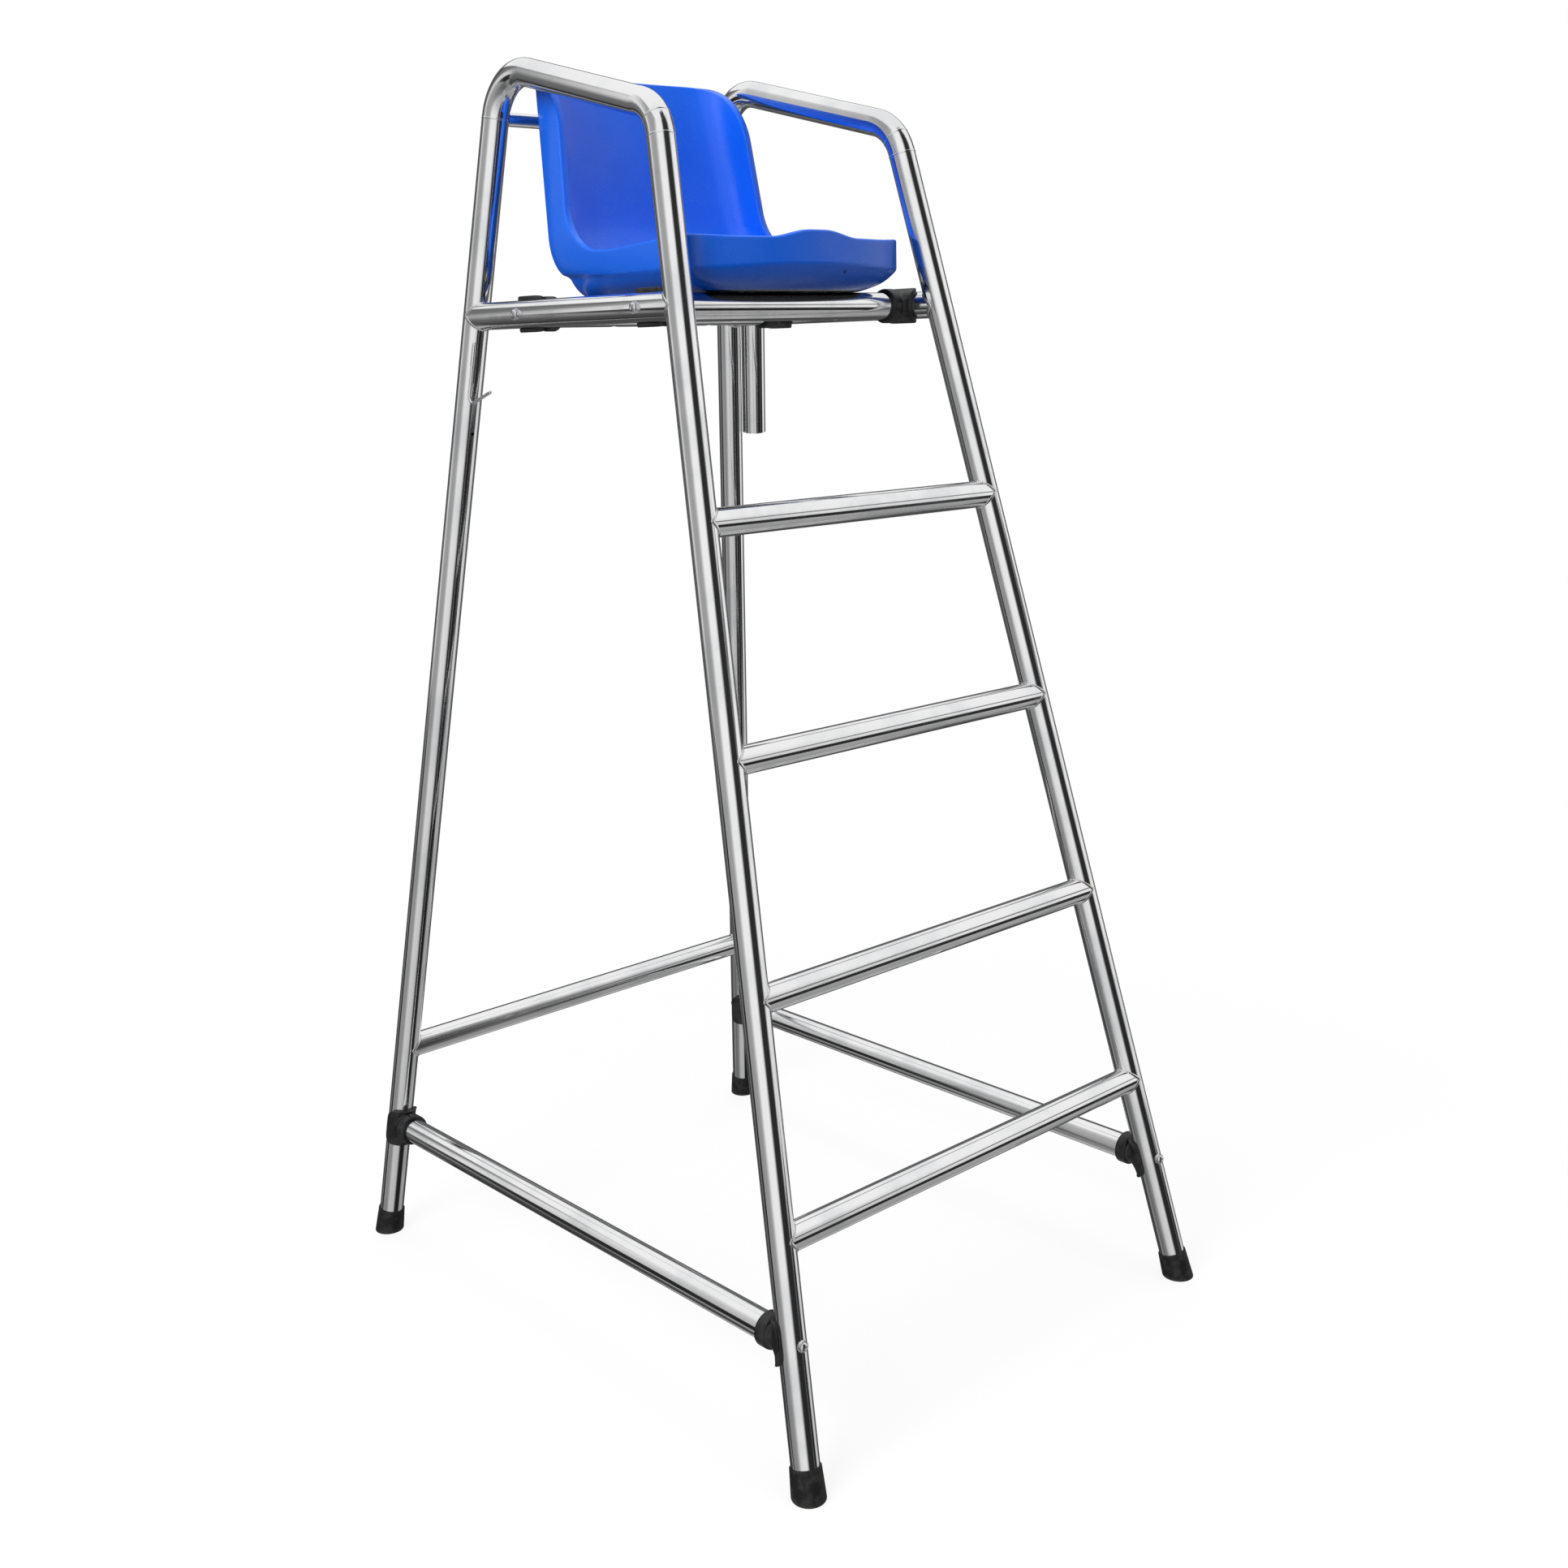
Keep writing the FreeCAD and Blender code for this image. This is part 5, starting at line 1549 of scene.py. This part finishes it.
    def front_line(self, x: np.ndarray) -> np.ndarray:
        """The front rim's top: a hump in the middle, a channel each side, then a slight rise."""
        off = np.abs(x)
        hump = 1.0 - smooth_step(off, self.pommel_half_width * 0.2, self.pommel_half_width * 1.2)
        start = self.pommel_half_width + self.channel_width * 0.8
        climb = smooth_step(off, start, self.half_width + self.corner_beyond)
        rise = (self.rim_front - self.channel_height) * climb
        return self.channel_height + (self.pommel_height - self.channel_height) * hump + rise

    def top_line(self, x: np.ndarray) -> np.ndarray:
        """The back's top seen from the front: all but level, with a quarter round at each end."""
        radius = self.top_corner
        edge = self.top_half_width - radius * 0.98
        over = np.clip((np.abs(x) - edge) / radius, 0.0, 0.9999)
        sag = self.top_sag * (1.0 - np.clip(np.abs(x) / edge, 0.0, 1.0) ** 2)
        return self.back_height - radius * (1.0 - np.sqrt(1.0 - over**2)) - sag

    def rim_height(self, points: np.ndarray) -> np.ndarray:
        """The rim's height at places, from its side, front and top lines.

        The side line holds but near the front, where the front line takes over, and the top line
        caps it with a smooth minimum: h a + (1 - h) b - k h (1 - h).
        """
        x, y = points[..., 0], points[..., 1]
        side = self.side_line(y)
        begins = self.front_reach - self.front_rim_begins
        holds = self.front_reach - self.front_rim_holds
        side = side + (self.front_line(x) - side) * smooth_step(-y, begins, holds)
        top = self.top_line(x)
        share = np.clip(0.5 + (top - side) / (2.0 * self.tip_softness), 0.0, 1.0)
        return share * side + (1.0 - share) * top - self.tip_softness * share * (1.0 - share)

    def rim_levels(self, bearing: np.ndarray, inner: bool) -> np.ndarray:
        """The height of a wall's rim at bearings, where the wall first reaches the rim's height."""
        height = np.linspace(self.pan_height, self.back_height + 0.01, self.search_rows)[:, None]
        grid = np.broadcast_to(bearing, (len(height), len(bearing)))
        heights = np.broadcast_to(height, grid.shape)
        over = heights - self.rim_height(self.wall(grid, heights, inner))
        first = np.argmax(over >= 0.0, axis=0)
        column = np.arange(len(bearing))
        low, high = over[first - 1, column], over[first, column]
        step = height[1, 0] - height[0, 0]
        return height[first - 1, 0] + step * low / (low - high)

    def from_rim(
        self, bearing: np.ndarray, height: np.ndarray, inner: bool, distance: np.ndarray
    ) -> tuple[np.ndarray, np.ndarray]:
        """Bearings and heights on a wall, a distance square to its rim.

        The way off the rim is the wall's normal crossed with the rim's direction. Its parts along
        the wall's two parameters come from the wall's two slopes.

        Args:
            bearing: The rim's bearings, evenly turning.
            height: The rim's heights.
            inner: Which wall.
            distance: How far from the rim.

        Returns:
            The bearings and the heights.
        """
        small = 1e-4
        here = self.wall(bearing, height, inner)
        by_bearing = (self.wall(bearing + small, height, inner) - here) / small
        by_height = (self.wall(bearing, height - small, inner) - here) / -small
        along = unit(np.roll(here, -1, axis=0) - np.roll(here, 1, axis=0))
        way = -unit(np.cross(np.cross(by_bearing, by_height), along))
        pairs = ((by_bearing, by_bearing), (by_bearing, by_height), (by_height, by_height))
        g = [(one * other).sum(1) for one, other in pairs]
        first, second = (way * by_bearing).sum(1), (way * by_height).sum(1)
        scale = g[0] * g[2] - g[1] ** 2
        turn = (first * g[2] - second * g[1]) / scale
        rise = (second * g[0] - first * g[1]) / scale
        return bearing + distance * turn, height + distance * rise

    def rounding_at(self, height: np.ndarray) -> np.ndarray:
        """How far the rim's outer rounding reaches, which grows up the wings."""
        share = smooth_step(height, self.rim_front, self.rim_front + self.wing_rounding_run)
        return self.rim_rounding + (self.wing_rounding - self.rim_rounding) * share

    def even_columns(self) -> np.ndarray:
        """Bearings at even steps along the outer rim, so that the wings get their share."""
        fine = np.linspace(0.0, FULL_TURN, self.fine_columns + 1)
        rim = self.wall(fine, self.rim_levels(fine, False))
        length = np.concatenate([[0.0], np.cumsum(np.linalg.norm(np.diff(rim, axis=0), axis=1))])
        length += fine / FULL_TURN * length[-1] * self.even_share
        even = np.linspace(0.0, length[-1], self.columns, endpoint=False)
        return np.interp(even, length, fine)

    def facing_bearings(self, rim: np.ndarray) -> np.ndarray:
        """For each point of the outer rim, the bearing of the nearest point of the inner rim.

        Neighbours that share one nearest point are spread by a running mean.
        """
        fine = turns(self.fine_columns // 2)
        inner = self.wall(fine, self.rim_levels(fine, True), True)
        apart = np.linalg.norm(rim[:, None, :] - inner[None, :, :], axis=2)
        nearest = np.unwrap(fine[np.argmin(apart, axis=1)])
        window = 2 * self.spread + 1
        last = nearest[: self.spread] + FULL_TURN
        padded = np.concatenate([nearest[-self.spread :] - FULL_TURN, nearest, last])
        even = np.convolve(padded, np.ones(window) / window, mode="valid")
        return np.maximum.accumulate(even + np.arange(len(even)) * 1e-7)

    def pan_at(self, points: np.ndarray) -> np.ndarray:
        """The pan's floor, which rises towards the front rim."""
        ahead = np.clip((self.pan_rise_start - points[..., 1]) / self.pan_rise_run, 0.0, 1.2)
        return self.pan_height + self.pan_front_rise * ahead**self.pan_rise_power

    def underside_rows(self, bearing: np.ndarray) -> list[np.ndarray]:
        """The flat base, its rounded edge, the bowl and the crease."""
        facet = self.facet_at(bearing)
        base = self.wall(bearing, np.zeros_like(bearing))
        rows = [base[None] * share for share in self.base_shares]
        rows.append(bend(base * 0.985, base, self.wall(bearing, facet * 0.07), 4))
        rows += [self.wall(bearing, facet * share)[None] for share in self.bowl_shares]
        below = self.wall(bearing, facet * (1.0 - self.crease / self.facet_height))
        crease = self.wall(bearing, facet)
        rows.append(bend(below, crease, self.wall(bearing, facet + self.crease), 5))
        return rows

    def side_rows(self, bearing: np.ndarray, rim: np.ndarray) -> list[np.ndarray]:
        """The outer wall, from just over the crease to where the rim's rounding starts."""
        end_bearing, end_height = self.from_rim(bearing, rim, False, self.rounding_at(rim))
        start_height = self.facet_at(bearing) + self.crease
        rows = []
        for share in np.linspace(0.0, 1.0, self.wall_rows + 1)[1:] ** self.wall_rows_power:
            angle = bearing + (end_bearing - bearing) * share
            rows.append(self.wall(angle, start_height + (end_height - start_height) * share)[None])
        return rows

    def patch(self) -> Patch:
        """The whole seat as one closed surface, from the middle of its base to that of its pan."""
        bearing = self.even_columns()
        outer_height = self.rim_levels(bearing, False)
        outer = self.wall(bearing, outer_height)
        facing = self.facing_bearings(outer)
        inner_height = self.rim_levels(facing, True)
        inner = self.wall(facing, inner_height, True)
        rows = self.underside_rows(bearing) + self.side_rows(bearing, outer_height)
        across = unit(inner - outer)
        face_start = outer + across * self.rounding_at(outer_height)[:, None]
        face_end = inner - across * self.inner_rounding
        rows.append(bend(rows[-1][0], outer, face_start, 10)[1:])
        rows.append(span(face_start, face_end, 2))
        crest = np.full_like(facing, self.inner_rounding)
        top_bearing, top_height = self.from_rim(facing, inner_height, True, crest)
        top = self.wall(top_bearing, top_height, True)
        rows.append(bend(face_end, inner, top, 6))
        rear = smooth_step(np.sin(facing), 0.15, 0.8)
        fillet = self.pan_fillet + (self.pan_rear_fillet - self.pan_fillet) * rear
        foot = self.wall(facing, np.full_like(facing, self.pan_height), True)
        floor = self.pan_at(foot)
        room = top_height - floor
        start = floor + np.minimum(fillet * 0.9, room * 0.8)
        for share in span(np.zeros(1), np.ones(1), self.inner_rows)[:, 0]:
            angle = top_bearing + (facing - top_bearing) * share
            rows.append(self.wall(angle, top_height + (start - top_height) * share, True)[None])
        corner = self.wall(facing, floor, True)
        pan = self.wall(facing, floor, True, fillet)
        pan[:, 2] = self.pan_at(pan)
        rows.append(bend(self.wall(facing, start, True), corner, pan, 12))
        middle = np.array([0.0, self.pan_middle, 0.0])
        for share in self.pan_shares:
            ring = middle + (pan - middle) * share
            ring[:, 2] = self.pan_at(ring)
            rows.append(ring[None])
        return closed_patch(np.vstack(rows) + self.origin)

    def vent_patch(self) -> Patch:
        """The vent's dark mouth: a shallow dish just proud of the slope under the front rim, coloured
        with painted shade in place of a bored hole.
        """
        bearing = np.linspace(1.5 * math.pi, 1.8 * math.pi, self.vent_search)
        points = self.wall(bearing, np.full_like(bearing, self.vent_height))
        here = int(np.argmin(np.abs(points[:, 0] - self.vent_offset)))
        angle = bearing[here : here + 1]
        centre = points[here]
        by_bearing = self.wall(angle + 1e-3, points[here : here + 1, 2])[0] - centre
        by_height = self.wall(angle, points[here : here + 1, 2] + 1e-4)[0] - centre
        normal = unit(np.cross(by_bearing, by_height))
        rows = []
        for radius, height in self.vent_profile:
            rows.append(ring_about(centre + normal * height, normal, radius, self.vent_columns))
        return closed_patch(np.stack(rows) + self.origin)

    def build(self) -> None:
        """Makes the seat in place of its node, and the vent's mouth."""
        make_piece("bucket_seat", self.patch(), self.material, ["seat_shell"])
        make_piece("seat_vent_mouth", self.vent_patch(), self.vent_material)


# The frame's own solids


@dataclass(frozen=True)
class SteelNodes:
    """The tubes and small steel parts that stay as the frame's own solids, by their finish."""

    lines: FrameLines
    tubes: dict[Run, bpy.types.Material]
    fastener: bpy.types.Material

    def names(self) -> dict[str, bpy.types.Material]:
        """Each kept node's name with its finish."""
        upright, across, along = (self.tubes[run] for run in (Run.UPRIGHT, Run.ACROSS, Run.ALONG))
        found = {name: across for name, _ in self.lines.rungs()}
        found |= {name: across for name in ("rear_stretcher", "back_bar")}
        found |= {f"seat_cross_tube_{end.value}": across for end in End}
        found["umbrella_tube"] = upright
        for side in Side:
            for name in ("seat_rail", "armrest", "side_stretcher"):
                found[f"{name}_{side.label}"] = along
            for end in End:
                found[f"{end.value}_leg_{side.label}"] = upright
                found[f"joint_ring_{end.value}_{side.label}"] = self.fastener
                found[f"stretcher_plug_{end.value}_{side.label}"] = self.fastener
                found[f"seat_plug_{end.value}_{side.label}"] = self.fastener
        small = ("connector_washers", "seat_washers", "seat_inserts")
        return found | {name: self.fastener for name in small}

    def dress(self, nodes: dict[str, bpy.types.Object]) -> None:
        """Gives each kept node its finish."""
        for name, material in self.names().items():
            for holder in nodes[name].material_slots:
                holder.material = material
            LOG.info("%s: frame solid in %s", name, material.name)


# The studio


@dataclass(frozen=True)
class Card:
    """A dark board round the chair that only polished metal sees.

    Its bearing is the turn in degrees, to the right, from the way to the camera. It spreads its
    half angle to each side, with soft edges, between two heights in degrees. Where the lower one
    is under -90, the board reaches down under the chair.
    """

    bearing: float
    half_angle: float
    softness: float
    low: float
    high: float
    depth: float


@dataclass(frozen=True)
class Lamp:
    """A square soft lamp at a place, facing a target, that reflections don't show."""

    name: str
    place: tuple[float, float, float]
    target: tuple[float, float, float]
    size: float
    power: float

    def build(self) -> None:
        """Makes the lamp."""
        data = bpy.data.lights.new(self.name, "AREA")
        data.shape = "SQUARE"
        data.size = self.size
        data.energy = self.power
        lamp = bpy.data.objects.new(self.name, data)
        bpy.context.scene.collection.objects.link(lamp)
        toward = Vector(self.target) - Vector(self.place)
        turn = toward.to_track_quat("-Z", "Y").to_matrix().to_4x4()
        lamp.matrix_world = Matrix.Translation(self.place) @ turn
        lamp.visible_glossy = False
        lamp.visible_camera = False


@dataclass(frozen=True)
class Studio:
    """A pale floor, soft lamps, a white surround and the dark boards in the tubes' reflections."""

    camera_way: float = -131.3
    # Each board has its bearing, half angle, softness, two heights and depth.
    cards: tuple[Card, ...] = (
        Card(50.0, 24.0, 7.0, -58.0, 64.0, 0.95),
        Card(50.0, 30.0, 10.0, -58.0, 50.0, 0.45),
        Card(86.0, 11.0, 2.0, -23.0, -7.0, 0.97),
        Card(86.0, 11.0, 2.0, 7.5, 13.0, 0.80),
        Card(180.0, 54.0, 5.0, -45.0, 28.0, 0.86),
        Card(-66.0, 24.0, 17.0, -58.0, 45.0, 0.60),
        Card(-95.0, 9.0, 2.0, -27.0, -4.0, 0.96),
        Card(-120.0, 15.0, 5.0, -50.0, 30.0, 0.82),
        Card(94.0, 30.0, 7.0, -95.0, -23.0, 0.30),
        Card(-95.0, 30.0, 7.0, -95.0, -27.0, 0.30),
    )
    lamps: tuple[Lamp, ...] = (
        Lamp("key_lamp", (-3.9, -1.0, 3.2), (0.0, 0.0, 1.4), size=2.4, power=150.0),
        Lamp("front_lamp", (0.6, -4.2, 2.6), (0.0, 0.0, 1.2), size=2.6, power=20.0),
        Lamp("top_lamp", (0.3, 0.6, 4.4), (0.0, 0.0, 1.5), size=2.0, power=50.0),
    )
    floor_radius: float = 3.2
    floor_columns: int = 96
    floor_shares: tuple[float, ...] = (0.25, 0.5, 0.75, 1.0)
    floor_drop: float = 0.0002
    floor_greys: tuple[float, float] = (0.62, 0.66)
    floor_lit_share: float = 0.25
    floor_brightness: float = 0.62
    fade_start: float = 0.9
    fade_end: float = 1.9
    edge_softness: float = 0.018
    under_all: float = -2.0
    surround_stops: tuple[tuple[float, float], ...] = (
        (0.0, 0.40),
        (0.25, 0.55),
        (0.40, 0.80),
        (0.50, 0.93),
        (0.62, 0.97),
        (1.0, 0.95),
    )
    light_above: float = 0.50
    light_below: float = 0.13
    def band(self, sheet: Sheet, value: object, low: float, high: float) -> bpy.types.NodeSocket:
        """1 while a value is between two limits, with soft ends."""
        soft = self.edge_softness
        up = sheet.ramp(value, low - soft, low + soft)
        down = sheet.ramp(value, high - soft, high + soft, 1.0, 0.0)
        return sheet.math("MULTIPLY", up, down)

    def card_mask(
        self, sheet: Sheet, level: tuple[object, object], height: object, card: Card
    ) -> bpy.types.NodeSocket:
        """How much of a direction a board hides, from its bearing and its height."""
        turn = math.radians(self.camera_way + card.bearing)
        along = sheet.math("MULTIPLY", level[0], math.cos(turn))
        along = sheet.math("MULTIPLY_ADD", level[1], math.sin(turn), along)
        near = math.cos(math.radians(card.half_angle - card.softness))
        far = math.cos(math.radians(card.half_angle + card.softness))
        side = sheet.ramp(along, far, near)
        low, high = math.sin(math.radians(card.low)), math.sin(math.radians(card.high))
        if card.low < -90.0:
            low = self.under_all
        rise = self.band(sheet, height, low, high)
        return sheet.math("MULTIPLY", sheet.math("MULTIPLY", side, rise), card.depth)

    def build_world(self) -> None:
        """The surround: white to the camera, boards in reflections, plain light for the rest."""
        world = bpy.data.worlds.new("studio_surround")
        bpy.context.scene.world = world
        world.use_nodes = True
        tree = world.node_tree
        tree.nodes.clear()
        sheet = Sheet(tree)
        way = sheet.add("ShaderNodeTexCoord").outputs["Generated"]
        parts = sheet.add("ShaderNodeSeparateXYZ", Vector=way)
        x, y, z = parts.outputs[0], parts.outputs[1], parts.outputs[2]
        squared = sheet.math("MULTIPLY_ADD", z, sheet.math("MULTIPLY", z, -1.0), 1.0)
        flat = sheet.math("SQRT", sheet.math("MAXIMUM", squared, 0.0001))
        level = (sheet.math("DIVIDE", x, flat), sheet.math("DIVIDE", y, flat))
        stops = sheet.add("ShaderNodeValToRGB", Fac=sheet.math("MULTIPLY_ADD", z, 0.5, 0.5))
        ramp = stops.color_ramp
        for position, grey in self.surround_stops:
            stop = ramp.elements.new(position)
            stop.color = (grey, grey, grey, 1.0)
        ramp.elements.remove(ramp.elements[0])
        ramp.elements.remove(ramp.elements[-1])
        light = sheet.add("ShaderNodeRGBToBW", Color=stops.outputs[0]).outputs[0]
        for card in self.cards:
            hidden = self.card_mask(sheet, level, z, card)
            light = sheet.math("MULTIPLY", light, sheet.math("SUBTRACT", 1.0, hidden))
        rays = sheet.add("ShaderNodeLightPath")
        plain = sheet.ramp(z, -0.5, 0.5, self.light_below, self.light_above)
        mirror = sheet.math("MULTIPLY", light, rays.outputs["Is Glossy Ray"])
        rest = sheet.math("SUBTRACT", 1.0, rays.outputs["Is Glossy Ray"])
        strength = sheet.math("MULTIPLY_ADD", plain, rest, mirror)
        straight = [rays.outputs[kind] for kind in ("Is Camera Ray", "Is Transmission Ray")]
        strength = sheet.math("MAXIMUM", strength, sheet.math("MAXIMUM", *straight))
        background = sheet.add("ShaderNodeBackground", Color=WHITE, Strength=strength)
        sheet.feed(sheet.add("ShaderNodeOutputWorld"), "Surface", background.outputs[0])

    def build_floor(self) -> None:
        """A round pale floor that fades into the white surround and keeps the chair's shadow."""
        count = self.floor_columns
        ring = ring_about(np.zeros(3), UP, self.floor_radius, count)
        rows = np.stack([ring * share for share in self.floor_shares])
        points = np.vstack([rows.reshape(-1, 3), np.zeros(3)])
        first = np.arange(count)
        fans = np.stack([first, np.roll(first, -1), np.full(count, len(points) - 1)], axis=-1)
        quads = ring_quads(len(self.floor_shares), count, False)[:, ::-1]
        mesh = bpy.data.meshes.new("pale_floor")
        mesh.from_pydata(points.tolist(), [], fans.tolist() + quads.tolist())
        floor = bpy.data.objects.new("pale_floor", mesh)
        bpy.context.scene.collection.objects.link(floor)
        floor.location = (0.0, 0.0, -self.floor_drop)
        floor.visible_glossy = False
        floor.visible_diffuse = False
        material, sheet, shader, place = start_material("pale_floor")
        mesh.materials.append(material)
        dark, pale = ((grey, grey, grey) for grey in self.floor_greys)
        sheet.feed(shader, "Base Color", sheet.blend(sheet.noise(place, 2.5), dark, pale))
        sheet.feed(shader, "Roughness", 0.9)
        away = sheet.add("ShaderNodeVectorMath", {"operation": "LENGTH"}, in0=place).outputs["Value"]
        lit_share = sheet.ramp(away, self.fade_start, self.fade_end, self.floor_lit_share, 0.0)
        glow_share = sheet.math("SUBTRACT", 1.0, lit_share)
        rays = sheet.add("ShaderNodeLightPath")
        white = sheet.math("MULTIPLY", glow_share, rays.outputs["Is Camera Ray"])
        made_up = sheet.math("MULTIPLY_ADD", lit_share, -self.floor_brightness, 1.0)
        strength = sheet.math("DIVIDE", made_up, glow_share)
        glow = sheet.add("ShaderNodeEmission", Color=WHITE, Strength=strength)
        mixed = sheet.add("ShaderNodeMixShader", in0=white, in1=shader.outputs[0], in2=glow.outputs[0])
        sheet.feed(material.node_tree.nodes["Material Output"], "Surface", mixed.outputs[0])

    def build(self) -> None:
        """Sets the view, the surround, the floor and the lamps."""
        bpy.context.scene.view_settings.view_transform = "Standard"
        self.build_world()
        self.build_floor()
        for lamp in self.lamps:
            lamp.build()


@dataclass(frozen=True)
class PhotoCamera:
    """The camera at the photograph's place and angle."""

    place: tuple[float, float, float] = (-1.8154, -2.0637, 1.4739)
    yaw: float = 0.738432
    pitch: float = -0.237627
    roll: float = -0.026957
    lens: float = 41.107
    sensor: float = 36.0

    def build(self) -> None:
        """Makes the camera and sets it as the scene's.

        Its forward way is (sin yaw cos pitch, cos yaw cos pitch, sin pitch). Right is forward
        crossed with +Z, turned about forward by the roll, and up is square to both.
        """
        flat = math.cos(self.pitch)
        ways = (math.sin(self.yaw) * flat, math.cos(self.yaw) * flat, math.sin(self.pitch))
        forward = Vector(ways)
        level = forward.cross(Vector((0.0, 0.0, 1.0))).normalized()
        rise = level.cross(forward)
        right = math.cos(self.roll) * level + math.sin(self.roll) * rise
        top = math.cos(self.roll) * rise - math.sin(self.roll) * level
        data = bpy.data.cameras.new("photo_camera")
        data.lens = self.lens
        data.sensor_width = self.sensor
        camera = bpy.data.objects.new("photo_camera", data)
        bpy.context.scene.collection.objects.link(camera)
        turn = Matrix((right, top, -forward)).transposed().to_4x4()
        camera.matrix_world = Matrix.Translation(self.place) @ turn
        bpy.context.scene.camera = camera


def main() -> None:
    """Loads the frame, dresses it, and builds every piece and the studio."""
    logging.basicConfig(level=logging.INFO, format="%(name)s: %(message)s")
    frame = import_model()
    PhotoCamera().build()
    Studio().build()
    groups = Groups(handling_wear(), moulded_grain())
    lines = FrameLines()
    tubes = {}
    for run in Run:
        tubes[run] = PolishedTube("polished_tube_" + run.name.lower(), run=run).build(groups)
    weld = WeldMetal().build(groups)
    fastener = FastenerSteel().build(groups)
    black = ConnectorPlastic().build(groups)
    SteelNodes(lines, tubes, fastener).dress(frame["nodes"])
    welds = Welds(lines, weld)
    welds.build()
    ArmSeams(lines, tubes[Run.UPRIGHT]).build()
    connectors = SaddleConnectors(lines, black)
    connectors.build()
    RubberFeet(lines, FootRubber().build(groups)).build()
    Bolts(lines, fastener, connectors).build()
    RingHook(lines, tubes[Run.UPRIGHT], weld).build(welds)
    SeatMoulding(lines, SeatPlastic().build(groups), VentShadow().build(groups)).build()


if __name__ == "__main__":
    main()
